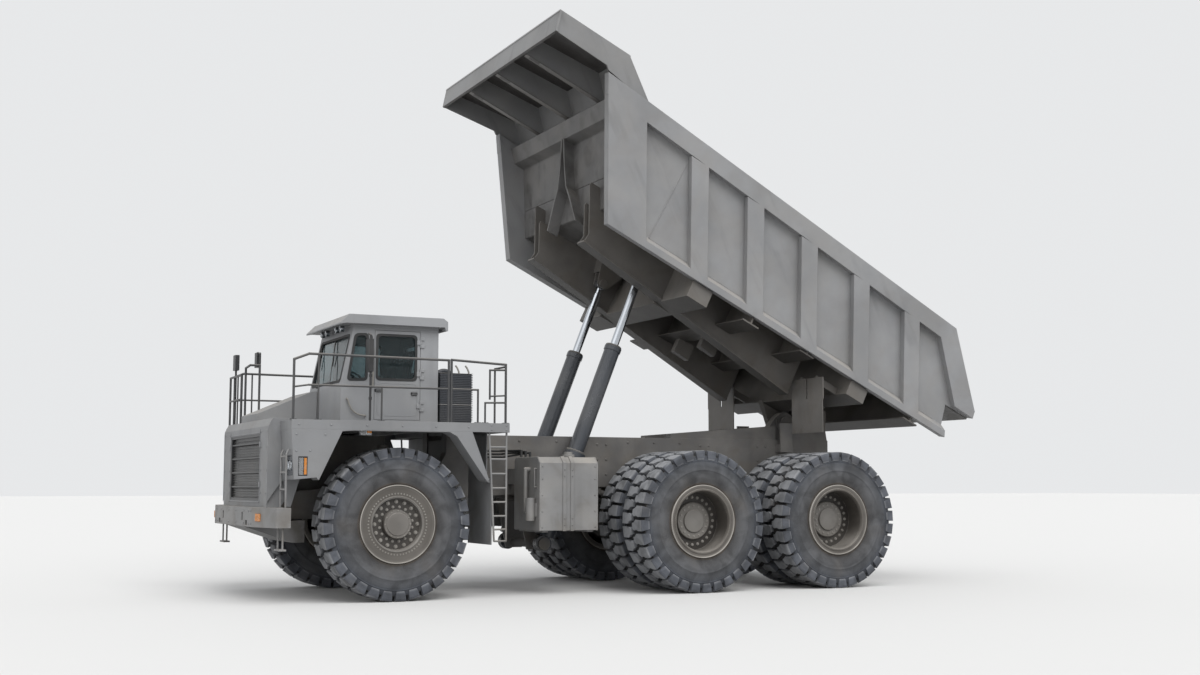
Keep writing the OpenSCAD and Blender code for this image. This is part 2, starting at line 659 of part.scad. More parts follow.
// CAB
cab_side = [[cab_rear_x, deck_z + eps], [cab_rear_x, cab_top_z], [cab_top_x, cab_top_z],
    [cab_front_x, cab_knee_z], [cab_front_x, deck_z + eps]];
cab_slope = (cab_front_x - cab_top_x) / (cab_top_z - cab_knee_z);
function screen_x(z) = cab_front_x - (z - cab_knee_z) * cab_slope;
cab_in = [[cab_rear_x + cab_wall, deck_z + cab_wall], [cab_rear_x + cab_wall, cab_top_z + 10],
    [screen_x(cab_top_z + 10) - cab_wall, cab_top_z + 10],
    [cab_front_x - cab_wall, cab_knee_z], [cab_front_x - cab_wall, deck_z + cab_wall]];
// Openings: columns are x0, z0, x1, z1
quarter = [[462, 4735], [477, 3916], [815, 3906], [688, 4724]];
side_panes = [[-452, 3930, 285, 4735], [-810, 4010, -600, 4700]];
screen_z = [3880, 4720];
hinge_z = [3420, 4000, 4580];
hinge_x = door_rear_x + 3;
hinge_y = cab_left_y + 16;
module cab_shell() {
    w = cab_wall;
    // Hinge barrels above and below each of the door's
    color(grey) truck() for (z = hinge_z) for (k = [-55 - eps, 80 + eps]) {
        translate([hinge_x, hinge_y, z + k]) cylinder(r = 13, h = 55);
        block(hinge_x - 70, hinge_x, cab_left_y - 1, hinge_y + 2, z + k, z + k + 55);
    }
    color(grey) truck() difference() {
        side_form(cab_side, cab_right_y, cab_left_y);
        side_form(cab_in, cab_right_y + w, cab_left_y - w);
        // Door opening
        block(door_rear_x, door_front_x, cab_left_y - w - 10, cab_left_y + 10, 3200, 4820);
        // Left quarter window, right side windows, windscreen and rear window
        side_form(quarter, cab_left_y - w - 10, cab_left_y + 10);
        side_form(quarter, cab_right_y - 10, cab_right_y + w + 10);
        block(side_panes[0][0], side_panes[0][2],
            cab_right_y - 10, cab_right_y + w + 10, side_panes[0][1], side_panes[0][3]);
        block(500, 1100, cab_right_y + 110, cab_left_y - 110, screen_z[0], screen_z[1]);
        block(cab_rear_x - 10, cab_rear_x + w + 10, cab_right_y + 300, cab_left_y - 300, 4150, 4700);
    }
}
module cab_roof() {
    z = cab_top_z + eps;
    color(grey) truck() difference() {
        union() {
            side_form([[1005, z + 25], [1005, z + 50], [850, roof_z], [-925, roof_z],
                [-1010, roof_z - 60], [-1010, roof_z - 225], [-970, roof_z - 225], [-950, z + 45],
                [900, z + 45]], cab_right_y - 100, cab_left_y + 150);
            block(cab_rear_x, screen_x(cab_top_z) - 5, cab_right_y, cab_left_y, z, z + 60);
        }
        // Hollow over the cab's inside, open below
        block(cab_rear_x + 90, screen_x(cab_top_z) - 90, cab_right_y + 90, cab_left_y - 90, z - 10, z + 130);
    }
}
module cab_glass() {
    g = pane_gap;
    color(glass) truck() {
        // Windscreen, following the slope
        side_form([[screen_x(screen_z[0]) - 20, screen_z[0] + g], [screen_x(screen_z[1]) - 20, screen_z[1] - g],
            [screen_x(screen_z[1]) - 20 - glass_t, screen_z[1] - g],
                [screen_x(screen_z[0]) - 20 - glass_t, screen_z[0] + g]],
                cab_right_y + 110 + g, cab_left_y - 110 - g);
        for (y = [cab_left_y - 20 - glass_t, cab_right_y + 20]) side_form([[462 + g, 4735 - 2 * g],
            [477 + g, 3916 + g], [815 - 2 * g, 3906 + 2 * g], [688 - g, 4724 - g]], y, y + glass_t);
        block(side_panes[0][0] + g, side_panes[0][2] - g, cab_right_y + 20, cab_right_y + 20 + glass_t,
            side_panes[0][1] + g, side_panes[0][3] - g);
        block(cab_rear_x + 20, cab_rear_x + 20 + glass_t, cab_right_y + 300 + g, cab_left_y - 300 - g,
            4150 + g, 4700 - g);
    }
}
module door_left() {
    e = door_gap;
    y = cab_left_y;
    color(grey) truck() {
        difference() {
            block(door_rear_x + e, door_front_x - e, y - cab_wall, y, 3200 + e, 4820 - e);
            block(side_panes[0][0], side_panes[0][2], y - cab_wall - 10, y + 10, side_panes[0][1],
                side_panes[0][3]);
        }
        // Grab handles, then the hinge barrels with their leaves
        for (p = [[257, 3730], [-422, 3684]]) block(p[0] - 45, p[0] + 45, y - 1, y + 26, p[1] - 22, p[1] + 22);
        for (z = hinge_z) {
            translate([hinge_x, hinge_y, z]) cylinder(r = 13, h = 80);
            block(hinge_x, hinge_x + 70, y - 1, hinge_y + 2, z, z + 80);
        }
    }
}
module door_glass() {
    g = pane_gap;
    color(glass) truck() block(side_panes[0][0] + g, side_panes[0][2] - g, cab_left_y - 20 - glass_t,
        cab_left_y - 20, side_panes[0][1] + g, side_panes[0][3] - g);
}
module cab_interior() {
    f = deck_z + cab_wall + eps;
    color(black) truck() {
        // Dashboard
        side_form([[520, f], [560, 3800], [600, 3860], [860, 3860],
            [860, f]], cab_right_y + cab_wall + 20, cab_left_y - cab_wall - 20);
        // Steering column and wheel
        bar([560, 950, 3700], [330, 950, 3965], 35);
        translate([330, 950, 3965]) rotate([0, -41, 0]) {
            rotate_extrude($fn = 48) translate([220, 0]) circle(r = 18, $fn = 16);
            for (a = [90, 210, 330]) rotate([0, 0, a]) rotate([0, 90, 0]) cylinder(r = 12, h = 215, $fn = 16);
            cylinder(r = 45, h = 30, center = true);
        }
        // Seat bases and back frames for driver and trainer
        for (s = [[950, 3600], [220, 3560]]) {
            block(-500, 0, s[0] - 210, s[0] + 210, f, s[1]);
            side_form([[seat_x(0) - eps, s[1] - 20], [seat_x(935) - eps, s[1] + 935],
                [seat_x(935) - 45, s[1] + 935], [seat_x(0) - 45, s[1] - 20]], s[0] - 200, s[0] + 200);
        }
        // Console on the right of the driver
        block(-200, 540, 480, 640, f, 3700);
    }
}
// Front face of a seat's leaning back frame, at a height over the cushion's foot
function seat_x(h) = -472 - h * 0.155;
module seat_pads() {
    color(dark) truck() for (s = [[0, 950, 3600], [0, 220, 3560]]) {
        z = s[2] + eps;
        block(-455, 30, s[1] - 250, s[1] + 250, z, z + 110);
        // Back and head pads lie on the leaning seat frame
        side_form([[seat_x(110), z + 110 + eps], [seat_x(110) + 130, z + 110 + eps],
            [seat_x(760) + 110, z + 760], [seat_x(760), z + 760]], s[1] - 240, s[1] + 240);
        side_form([[seat_x(760), z + 760 + eps], [seat_x(760) + 95, z + 760 + eps],
            [seat_x(930) + 85, z + 930], [seat_x(930), z + 930]], s[1] - 140, s[1] + 140);
    }
}
module air_cleaner() {
    color(black) truck() {
        block(-1530, -910, 1200, 1880, deck_z + eps, 4085);
        for (i = [0 : fin_count - 1]) block(-1552, -895, 1178, 1902, deck_z + 40 + i * 57,
            deck_z + 62 + i * 57);
        // Intake pipe that bows over to the cab's rear and down behind
        translate([-1250, 1150, 4000]) rotate([90, 0, 0]) rotate_extrude(angle = 180,
            $fn = 48) translate([180, 0]) circle(r = 45, $fn = 24);
        for (x = [-1430, -1070]) translate([x, 1150, deck_z + eps]) cylinder(r = 45, h = 850);
        block(-1440, -1060, 1150, 1210, 3500, 3560);
    }
}

// TANKS
module tank_body(round_top) {
    x0 = tank_rear_x;
    x1 = tank_front_x;
    color(grey) truck() {
        front_form([[tank_in_y, tank_z0], [tank_out_y, tank_z0], [tank_out_y, tank_z1 - 110],
            [tank_out_y - 110, tank_z1], [tank_in_y + 60, tank_z1], [tank_in_y, tank_z1 - 60]], x0, x1);
        // Twin strap, feet and frame brackets
        for (x = [-3240, -3400]) front_form([[tank_in_y - 5, tank_z0 - 12],
            [tank_out_y + 18, tank_z0 - 12], [tank_out_y + 18, tank_z1 - 102],
            [tank_out_y - 102, tank_z1 + 18], [tank_in_y + 52, tank_z1 + 18],
                [tank_in_y - 5, tank_z1 - 40]], x, x + 70);
        for (x = [x0 + 80, x1 - 200]) block(x, x + 120, tank_in_y + 60, tank_out_y - 60, tank_z0 - 35,
            tank_z0 + 5);
        for (x = [-2860, -3450]) block(x, x + 100, rail_out_y + eps, tank_in_y + 10, 2050, 2350);
        // Filler cap and a service plate on the top
        translate([-3560, 1750, tank_z1 - 5]) cylinder(r = 120, h = 65);
        translate([-3560, 1750, tank_z1 + 50]) cylinder(r = 80, h = 60);
        // Pipe and filter on the front face
        tube_path([[x1 - 5, 1900, 2330], [x1 + 90, 1900, 2330], [x1 + 90, 1900, 1560],
            [x1 - 5, 1900, 1560]], 38);
        translate([x1 + 92, 2130, 1380]) cylinder(r = 88, h = 420);
        block(x1 - 5, x1 + 20, 2040, 2220, 1450, 1700);
    }
}

// LAMPS AND MIRRORS
module lamps() {
    truck() {
        color(amber) both_sides() translate([bumper_x - 80, 1800, 1480]) rotate([0, 0,
            12.5]) translate([-8, 0, 0]) cube([100, 190 - 2 * eps, 130 - 2 * eps], center = true);
        // Headlamps in the fenders
        color(chrome) both_sides() {
            block(1900, 1925, 2060 + eps, deck_half_w - 60 - eps, 2200 + eps, 2540 - eps);
            for (y = [deck_half_w - 385, deck_half_w - 175]) translate([1920, y, 2370]) rotate([0, 90,
                0]) cylinder(r = 92, h = 45);
        }
        color(amber) both_sides() block(1700 + eps, 1860, deck_half_w - 35, deck_half_w - 10, 2190 + eps,
            2520 - eps);
        // Work lamp under the arch
        color(amber) both_sides() block(560, 760, deck_half_w - 160, deck_half_w - 60, band_z - 85,
            band_z - 10 - eps);
        // Roof lamps under the fascia
        color(chrome) for (y = [200, 500, 1150, 1450]) translate([screen_x(cab_top_z) + 75, y,
            cab_top_z - 10]) rotate([0, 90, 0]) cylinder(r = 55, h = 80);
    }
}
module mirrors() {
    z0 = deck_z + eps;
    color(black) truck() {
        // Left mirror on its tube, clear of the door's swing
        tube_path([[560, 2370, z0], [560, 2370, 4660], [560, 2250, 4700]], 20);
        block(520, 600, 2180, 2420, 4020, 4600);
        // Right mirror over the hood cover, and one at the right front corner
        tube_path([[1720, -1060, z0 + 1190 + tube_r + 2], [1720, -1060, 4560], [1720, -1240, 4600]], 18);
        block(1680, 1760, -1340, -1150, 4310, 4600);
        tube_path([[1880, -2440, z0], [1880, -2440, 4500]], 20);
        block(1840, 1920, -2540, -2330, 4330, 4640);
    }
}

// UNDERCARRIAGE
module axle(x) {
    translate([x, 0, axle_z]) {
        along_y() translate([0, 0, -1180]) cylinder(r = 230, h = 2360);
        sphere(r = 470, $fn = 48);
        both_sides() {
            translate([0, 400, 0]) along_y() cylinder(r1 = 420, r2 = 240, h = 330);
            // Brake drum and spindle inside the rims
            translate([0, 1160, 0]) along_y() cylinder(r = 455, h = 620);
            translate([0, 1700, 0]) along_y() cylinder(r = rear_spindle_r,
                h = outer_wheel_y + flange_y - hub_cap_d - 80 - 1700);
        }
        // Noses for the shafts, spring seats and the radius rods up to the rails
        rotate([0, 90, 0]) translate([0, 0, -520]) cylinder(r = 150, h = 600);
        rotate([0, 90, 0]) cylinder(r = 190, h = 640);
        both_sides() {
            block(-110, 110, 770, 950, 120, 260);
            bar([40, 620, 190], [1150, 560, rail_bot_z - 70 - axle_z], 60);
            block(1060, 1240, rail_in_y + 40, rail_out_y - 30, rail_bot_z - 140 - axle_z,
                rail_bot_z - eps - axle_z);
        }
    }
}
module rear_axles() {
    color(dark) truck() for (x = [mid_x, rear_x]) axle(x);
}
module rear_struts() {
    color(dark) truck() both_sides() for (x = [mid_x, rear_x]) {
        // Strut from the axle to its bracket on the rail
        translate([x, 860, axle_z + 260 + eps]) cylinder(r = 75, h = 500);
        translate([x, 860, axle_z + 620]) cylinder(r = 115, h = 620);
        block(x - 150, x + 150, rail_out_y + eps, 860, 2350, 2520);
    }
}
module driveshafts() {
    color(dark) truck() {
        bar([-1450 - eps, 0, 2150], [-1580, 0, 2150], 95);
        bar([-1560, 0, 2150], [mid_x + 740, 0, axle_z], 75);
        bar([mid_x + 640 + eps, 0, axle_z], [mid_x + 770, 0, axle_z], 95);
        bar([mid_x - 520 - eps, 0, axle_z], [rear_x + 640 + eps, 0, axle_z], 75);
    }
}
module hoses() {
    color(black) truck() {
        for (i = [0 : 2]) tube_path([[-2050, 760 + i * 90, 2700 - i * 60],
            [-2560, 760 + i * 90, 2700 - i * 60], [-2780 - i * 90, 1300, 2700 - i * 20],
            [-2780 - i * 90, 1300, tank_z1 + eps]], 24);
        block(-2060, -1990, rail_out_y + eps, 1010, 2480, 2760);
    }
}

// LOAD BODY, drawn level: x along the lower edge, z over the pivot
module bed() truck() translate([pivot_x, 0, pivot_z]) rotate([0, -bed_tilt, 0]) children();
// Point from the bed's lower front corner: u back along the edge, w over it
function uw(u, w) = [bed_front - u, bed_edge + w];
module bed_form(pts, y0, y1) side_form([for (p = pts) uw(p[0], p[1])], y0, y1);
// Frame of a side wall, leaning out about its lower edge, y 0 at the ribs' faces
module wall_frame() translate([0, bed_half_w, bed_edge]) rotate([-bed_lean, 0, 0]) children();
function wall_pts(pts) = [for (p = pts) [bed_front - p[0], p[1] / cos(bed_lean)]];
module wall_form(pts, y0, y1) wall_frame() side_form(wall_pts(pts), y0, y1);
function lean_u(u, w) = u - post_slope * w;
// Distance back along the edge of a point d behind the front wall's face
function wall_u(d, w) = wall_in + d - wall_run * w;
function rail_w(u) = 2459.6 - 0.0397 * u;
function rail_low(u) = rail_w(u) - 358;
module bed_side() {
    p = rib_proud;
    color(grey) bed() {
        // Side sheet down to the lower edge
        wall_form([[0, 0], [lean_u(0, wall_shift), wall_shift], [8034, 2141], [tail_u, 831],
            [tail_u + 27, 675], [8682, 653], [8794, 233], [8901, 0]], -p - sheet_t, -p);
        // Top rail, rear post, front post
        wall_form([[lean_u(0, wall_shift), wall_shift], [8034, 2141], [7776, 1793],
            [-1200, rail_low(-1200)]], -p - 1, 0);
        wall_form([[8034, 2141], [tail_u, 831], [tail_u + 27, 675], [8812, 690], [7776, 1793]], -p - 1, 0);
        wall_form([[0, 0], [lean_u(0, wall_shift - 20), wall_shift - 20], [lean_u(930, 2300), 2300],
            [930, 0]], -p - 1, 0);
        for (i = [0 : rib_count - 1]) {
            u = 1904 + i * rib_pitch + post_slope * 200;
            wall_form([[lean_u(u, 120), 120], [lean_u(u + rib_w, 120), 120],
                [lean_u(u + rib_w, rail_low(u)), rail_low(u) + 30],
                [lean_u(u, rail_low(u)), rail_low(u) + 30]], -p - 1, 0);
        }
        // Lower rail with its sloping top
        wall_frame() difference() {
            front_form([[-p - 1, 0], [0, 0], [0, 130], [-p - 1, 233]], bed_front - 8901, bed_front);
            side_form([[bed_front - 8910, -1], [bed_front - 8901, -1], [bed_front - 8794, 235],
                [bed_front - 8910, 240]], -p - 5, 5);
        }
    }
}
module bed_floor() {
    a = inner_y + floor_w * tan(bed_lean) - eps;
    b = inner_y + (floor_w + floor_t) * tan(bed_lean) - eps;
    color(grey) bed() difference() {
        front_form([[-a, bed_edge + floor_w], [a, bed_edge + floor_w], [b, bed_edge + floor_w + floor_t],
            [-b, bed_edge + floor_w + floor_t]], bed_front - tail_u - 20, bed_front + 400);
        // Front end cut along the front wall's back face
        bed_form([[wall_u(54 + eps, floor_w - 5), floor_w - 5],
            [wall_u(54 + eps, floor_w + 70), floor_w + 70], [-500, floor_w + 70],
            [-500, floor_w - 5]], -3000, 3000);
    }
}
module between_walls() {
    y0 = inner_y - eps;
    t = tan(bed_lean);
    intersection() {
        children();
        front_form([[-y0, bed_edge], [y0, bed_edge], [y0 + 2600 * t, bed_edge + 2600],
            [-y0 - 2600 * t, bed_edge + 2600]], 0, 9000);
    }
}
module bed_front_wall() {
    color(grey) bed() {
        // Leaning plate, trapezoid to the side walls
        between_walls() bed_form([[wall_u(0, wall_low), wall_low], [wall_u(0, 2560), 2560],
            [wall_u(54, 2560), 2560], [wall_u(54, wall_low), wall_low]], -3000, 3000);
        // Box beam across it under the canopy, deeper at its top
        between_walls() bed_form([[wall_u(1, 2085), 2085], [wall_u(-243, 2085), 2085],
            [wall_u(-338, 2350), 2350], [wall_u(1, 2350), 2350]], -3000, 3000);
        // Wishbone: two plates that part downward from the beam
        intersection() {
            bed_form([[wall_u(-wishbone_d, 430), 430], [wall_u(-wishbone_d, 2086), 2086],
                [wall_u(1, 2086), 2086], [wall_u(1, 430), 430]], -800, 800);
            both_sides() front_form([for (p = wishbone) [p[0], p[1] + bed_edge]], 5500, 8500);
        }
    }
}
// Outline of a wishbone plate. Columns: distance from the centre line, height over the edge
wishbone = [[20, 2090], [75, 2090], [120, 1600], [225, 1150], [402, 925], [712, 425],
    [668, 425], [362, 905], [182, 1145], [80, 1600]];
module bed_canopy() {
    rise = (rib_proud + sheet_t) * sin(bed_lean) + eps;
    color(grey) bed() {
        // Roof plate, wider toward its front lip
        difference() {
            front_w = canopy_half_w - 1;
            translate([bed_front + 2836, 0, bed_edge + 2917]) rotate([0, 5.49, 0]) translate([0, 0,
                -45]) linear_extrude(45)
                polygon([[0, -front_w], [0, front_w], [-1720, front_w - 250], [-1720, -front_w + 250]]);
        }
        // Front lip
        bed_form([[-2836, 2917], [-2731, 2503], [-2680, 2503], [-2680, 2545], [-2700, 2545],
            [-2770, 2890]], -canopy_half_w, canopy_half_w);
        // Side plates, flared forward
        both_sides() translate([bed_front + 2836, canopy_half_w, 0]) rotate([0, 0,
            8.2]) translate([-bed_front - 2836, 0, 0])
            bed_form([[-2830, 2917], [-2727, 2503], [-1475, 2602], [-1400, rail_w(-1400) + rise],
                [-270, rail_w(-270) + rise], [-1140, 3080]], -40, 0);
        // Deep ribs under the roof plate, from the lip back to the front wall
        for (y = [-1500, 0, 1500]) bed_form([[-2690, 2520], [-2760, 2885], [-1180, 3052],
            [wall_u(0, 2560) + 2, 2563], [wall_u(-34, 2550), 2550], [-2560, 2490], [-2685, 2510]],
            y - 50, y + 50);
        // Sloping strip that joins roof and front wall
        intersection() {
            bed_form([[wall_u(0, 2560), 2560 + eps], [wall_u(54, 2560), 2560 + eps],
                [-1132, 3055], [-1190, 3050]], -3000, 3000);
            translate([bed_front + 2836, 0, 0]) linear_extrude(5000)
                polygon([[0, -canopy_half_w + 1], [0, canopy_half_w - 1],
                    [-2300, canopy_half_w - 335], [-2300, -canopy_half_w + 335]]);
        }
    }
}
// Cross members under the floor. Columns: front u, rear u, underside w, closed box
bolsters = [[2145, 2634, -350, 1], [3471, 3875, -150, 0], [4936, 5297, -60, 0], [6314, 6772, -320, 1],
    [7811, 8196, -100, 0]];
module bolster(u0, u1, w0, box) {
    a = inner_y - 4;
    top = inner_y + floor_w * tan(bed_lean) - 6;
    e = bed_half_w - 80;
    sec = w0 < -1 ? [[-e, w0], [e, w0], [e, -1], [a, -1], [top, floor_w - eps], [-top, floor_w - eps],
        [-a, -1], [-e, -1]] : [];
    pts = [for (p = sec) [p[0], p[1] + bed_edge]];
    if (box == 1) front_form(pts, bed_front - u1, bed_front - u0);
    else {
        front_form(pts, bed_front - (u0 + u1) / 2 - 20, bed_front - (u0 + u1) / 2 + 20);
        block(bed_front - u1, bed_front - u0, -e, e, bed_edge + w0, bed_edge + w0 + 30);
    }
}
module bed_beams() {
    floor_under = floor_w - eps;
    cheek_low = [[eye_u - 133, eye_w - 53], [eye_u - 63, eye_w - 103], [eye_u + 67, eye_w - 103],
        [eye_u + 157, eye_w - 33]];
    color(grey) bed() both_sides() {
        // Twin-web main beams, deeper toward the rear, with their lower flange
        for (row = [[beam_in_y, wall_low + 60], [beam_out_y - 30, 1040]]) bed_form([[145, 80],
            [120, -95], [5650, -580], [5650, floor_under],
            [wall_u(54 + 2 * eps, floor_w), floor_under], [wall_u(54 + 2 * eps, wall_low), wall_low - eps],
            [wall_u(-eps, wall_low), wall_low - eps], [wall_u(-eps, row[1]), row[1]],
            [wall_u(-wishbone_d + 40, row[1]), row[1]], [wall_u(-wishbone_d, row[1] - 60), row[1] - 60]],
            row[0], row[0] + 30);
        bed_form([[100, -90], [100, -135], [5645, -620], [5645, -572]], beam_in_y - 20, beam_out_y + 40);
        // Rod cheeks: a pair of plates each side of the hoist's eye, with bosses
        for (y = [hoist_y - 110, hoist_y + 80])
            bed_form(concat([[eye_u - 273, floor_under]], cheek_low, [[eye_u + 447, floor_under]]), y, y + 30);
        bed_form([[1400, floor_under], [1480, 320], [1505, 320],
            [1440, floor_under]], hoist_y - 110, beam_in_y + 5);
        for (y = [hoist_y - 150, hoist_y + 105]) translate([bed_front - eye_u, y,
            bed_edge + eye_w]) along_y() cylinder(r = 95, h = 45);
    }
}
module bed_bolsters() {
    color(grey) bed() difference() {
        union() {
            for (b = bolsters) bolster(b[0], b[1], b[2], b[3]);
            // Upper box of the rear bolster's pivot zone
            block(bed_front - 6780, bed_front - 6300, -1100, 1100, bed_edge - 340, bed_edge + 100);
            both_sides() {
                // Pivot ears hanging from the rear box
                bed_form([[6250, -300], [6889 - 260, -bed_edge - 120], [6889 - 120, -bed_edge - 250],
                    [6889 + 120, -bed_edge - 250], [6889 + 260, -bed_edge - 120],
                    [7000, -300]], rail_out_y + 8, rail_out_y + 158);
                // Rest pads over the frame's wedges
                bed_form([[3700, -125], [3700, -465], [4100, -483], [4100, -125]], 480, 640);
            }
        }
        both_sides() {
            translate([0, rail_out_y, 0]) along_y() cylinder(r = pivot_r + 2.5, h = 300);
            // Slots that the main beams and their flanges pass through
            bed_form([[0, -800], [5650 + eps, -800], [5650 + eps, floor_w + 10],
                [0, floor_w + 10]], beam_in_y - eps, beam_out_y + eps);
            bed_form([[100, -800], [5645 + eps, -800], [5645 + eps, -572 + eps],
                [100, -90 + eps]], beam_in_y - 20 - eps, beam_out_y + 40 + eps);
        }
    }
}
module bed_flaps() {
    // Hanging plates ahead of the rear axle's wheels, carried on arms from the rear box
    color(grey) {
        truck() both_sides() {
            block(-9066, -9050, 1180, 2300, 3110, 3830);
            block(-9074, -9050, 1180, 1700, 3800, 4250);
            block(-9074, -9050, 1760, 2320, 3800, 4250);
        }
        bed() both_sides() for (y = [1440, 2000])
            bed_form([[5760, -225], [5735, -170], [6314 - eps, -170], [6314 - eps, -310],
                [5790, -310]], y, y + 60);
    }
}

// HOISTS, drawn upright from the foot
module hoist(side) truck() translate([hoist_foot_x, side * hoist_y, hoist_foot_z]) rotate([0, -hoist_lean,
    0]) children();
module hoist_barrel(side) {
    bore = stage_r + gland_gap;
    color(black) hoist(side) difference() {
        union() {
            translate([0, 0, 145]) cylinder(r = barrel_r, h = barrel_top - 145);
            translate([0, -80, 0]) along_y() cylinder(r = 165, h = 160);
            translate([0, 0, barrel_top - 140]) cylinder(r = barrel_r + 18, h = 140);
        }
        translate([0, 0, 190]) cylinder(r = barrel_r - 25, h = barrel_top - 190 - 110);
        translate([0, 0, 190]) cylinder(r = bore, h = barrel_top);
        translate([0, -90, 0]) along_y() cylinder(r = foot_tube_r + 2, h = 180);
    }
}
module hoist_tube(side) {
    color(black) hoist(side) difference() {
        union() {
            translate([0, 0, stage_foot]) cylinder(r = stage_r, h = stage_top - stage_foot);
            translate([0, 0, stage_top - 90]) cylinder(r = stage_r + 15, h = 90);
        }
        translate([0, 0, stage_foot + 50]) cylinder(r = stage_r - 30, h = stage_top - stage_foot - 170);
        translate([0, 0, stage_foot + 50]) cylinder(r = rod_r + gland_gap, h = stage_top);
    }
}
module hoist_rod(side) {
    color(chrome) hoist(side) {
        translate([0, 0, rod_foot]) cylinder(r = rod_r, h = hoist_len - rod_foot - 240);
        // Neck between the cheeks, up to the eye
        translate([0, 0, hoist_len - 241]) cylinder(r = rod_r - 18, h = 241);
        translate([0, -75, hoist_len]) along_y() cylinder(r = 130, h = 150);
    }
}

frame();
bumper();
hood();
grille();
engine();
deck();
fender();  // fender_left
mirror([0, 1, 0]) fender();  // fender_right
cab_shell();
cab_roof();
cab_glass();
cab_interior();
seat_pads();
door_left();
door_glass();
air_cleaner();
handrail_left();
handrail_right();
ladders();
tank_body();  // fuel_tank
mirror([0, 1, 0]) tank_body();  // hydraulic_tank
lamps();
mirrors();
front_struts();
rear_axles();
rear_struts();
driveshafts();
hoses();
knuckle();  // knuckle_left
mirror([0, 1, 0]) knuckle();  // knuckle_right
tie_rod();
front_tyre();  // tyre_front_left
mirror([0, 1, 0]) front_tyre();  // tyre_front_right
front_rim();  // rim_front_left
mirror([0, 1, 0]) front_rim();  // rim_front_right
twin_tyres(mid_x);  // tyres_mid_left
mirror([0, 1, 0]) twin_tyres(mid_x);  // tyres_mid_right
twin_rim(mid_x);  // rim_mid_left
mirror([0, 1, 0]) twin_rim(mid_x);  // rim_mid_right
twin_tyres(rear_x);  // tyres_rear_left
mirror([0, 1, 0]) twin_tyres(rear_x);  // tyres_rear_right
twin_rim(rear_x);  // rim_rear_left
mirror([0, 1, 0]) twin_rim(rear_x);  // rim_rear_right
bed_floor();
bed_beams();
bed_bolsters();
bed_front_wall();
bed_side();  // bed_side_left
mirror([0, 1, 0]) bed_side();  // bed_side_right
bed_canopy();
bed_flaps();
hoist_barrel(1);  // hoist_barrel_left
hoist_barrel(-1);  // hoist_barrel_right
hoist_tube(1);  // hoist_tube_left
hoist_tube(-1);  // hoist_tube_right
hoist_rod(1);  // hoist_rod_left
hoist_rod(-1);  // hoist_rod_right
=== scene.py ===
"""Three-axle mining dump truck, load body raised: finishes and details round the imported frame."""

import json
import math

import bmesh
import bpy
from mathutils import Matrix, Vector


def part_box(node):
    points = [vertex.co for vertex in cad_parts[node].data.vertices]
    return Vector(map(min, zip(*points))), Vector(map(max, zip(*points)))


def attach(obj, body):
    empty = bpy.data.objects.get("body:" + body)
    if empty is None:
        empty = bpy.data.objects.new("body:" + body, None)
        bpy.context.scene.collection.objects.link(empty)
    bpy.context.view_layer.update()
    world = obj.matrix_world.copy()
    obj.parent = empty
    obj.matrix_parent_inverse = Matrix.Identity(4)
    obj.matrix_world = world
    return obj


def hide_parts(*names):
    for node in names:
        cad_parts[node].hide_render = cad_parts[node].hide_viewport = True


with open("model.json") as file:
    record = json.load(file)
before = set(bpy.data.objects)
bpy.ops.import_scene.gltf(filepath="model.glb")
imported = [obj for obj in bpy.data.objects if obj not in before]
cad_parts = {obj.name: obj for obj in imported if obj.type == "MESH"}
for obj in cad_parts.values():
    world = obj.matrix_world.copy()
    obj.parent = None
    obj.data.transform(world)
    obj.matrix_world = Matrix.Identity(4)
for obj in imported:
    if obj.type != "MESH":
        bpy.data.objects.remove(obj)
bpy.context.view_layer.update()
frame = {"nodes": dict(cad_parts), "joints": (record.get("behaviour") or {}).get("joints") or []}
nodes = frame["nodes"]
joints = {j["name"]: j for j in frame["joints"]}

# Places
SIDES = (("left", 1), ("right", -1))
AXLE_X = joints["wheel_front_left_spin"]["pos_m"][0]   # front axle's line
HUB_Z = joints["wheel_front_left_spin"]["pos_m"][2]    # height of every wheel's centre
PIVOT = Vector(joints["bed_lower"]["pos_m"])           # the load body's hinge line
BED_TILT = math.radians(26.3)
BED_FRONT, BED_EDGE = 6.889, 0.555                     # lower front corner, from the pivot
BED_HALF_W, BED_LEAN = 2.530, math.radians(7.09)       # side walls: half width low down, lean outwards
RIB_PROUD = 0.150                                      # side ribs stand this far off the sheet
POST_SLOPE = 1396 / 2515                               # how far the ribs lean back per height
HOIST_FOOT = Vector((AXLE_X - 3.4, 0, 0.9))
HOIST_OUT = 0.9                                        # each hoist from the truck's middle
HOIST_LEAN = math.radians(21.71)
DECK_TOP, DECK_EDGE = 3.150, 2.560                     # deck: height of its top, half width
HOOD_FACE, BUMPER_FACE = 2.200, 2.400                  # front faces, from the front axle
STRAP_Y, TANK_Y, RAIL_Y = 2.368, 2.350, 0.680          # outer faces: tank straps, tanks, frame rails
POST_FOOT = 3.158                                      # top of the plates under the handrail posts
CAB_LEFT, CAB_RIGHT = 1.850, -0.250                    # cab's side walls
SCREEN_SLOPE = 0.2072                                  # the windscreen leans back this much per height
SCREEN_OUT = Vector((1, 0, SCREEN_SLOPE)).normalized()


def at(x, y, z):
    """A point measured from the front axle's line."""
    return Vector((AXLE_X + x, y, z))


def bed_at(u, y, w):
    """A point of the raised load body: u back along its lower edge, w over that edge."""
    x, z = BED_FRONT - u, BED_EDGE + w
    c, s = math.cos(BED_TILT), math.sin(BED_TILT)
    return Vector((PIVOT.x + x * c - z * s, y, PIVOT.z + x * s + z * c))


def wall_at(side, u, out, w):
    """A point of a leaning side wall: out is measured from the ribs' faces."""
    c, s = math.cos(BED_LEAN), math.sin(BED_LEAN)
    y = BED_HALF_W + out * c + w * math.tan(BED_LEAN)
    return bed_at(u, side * y, w - out * s)


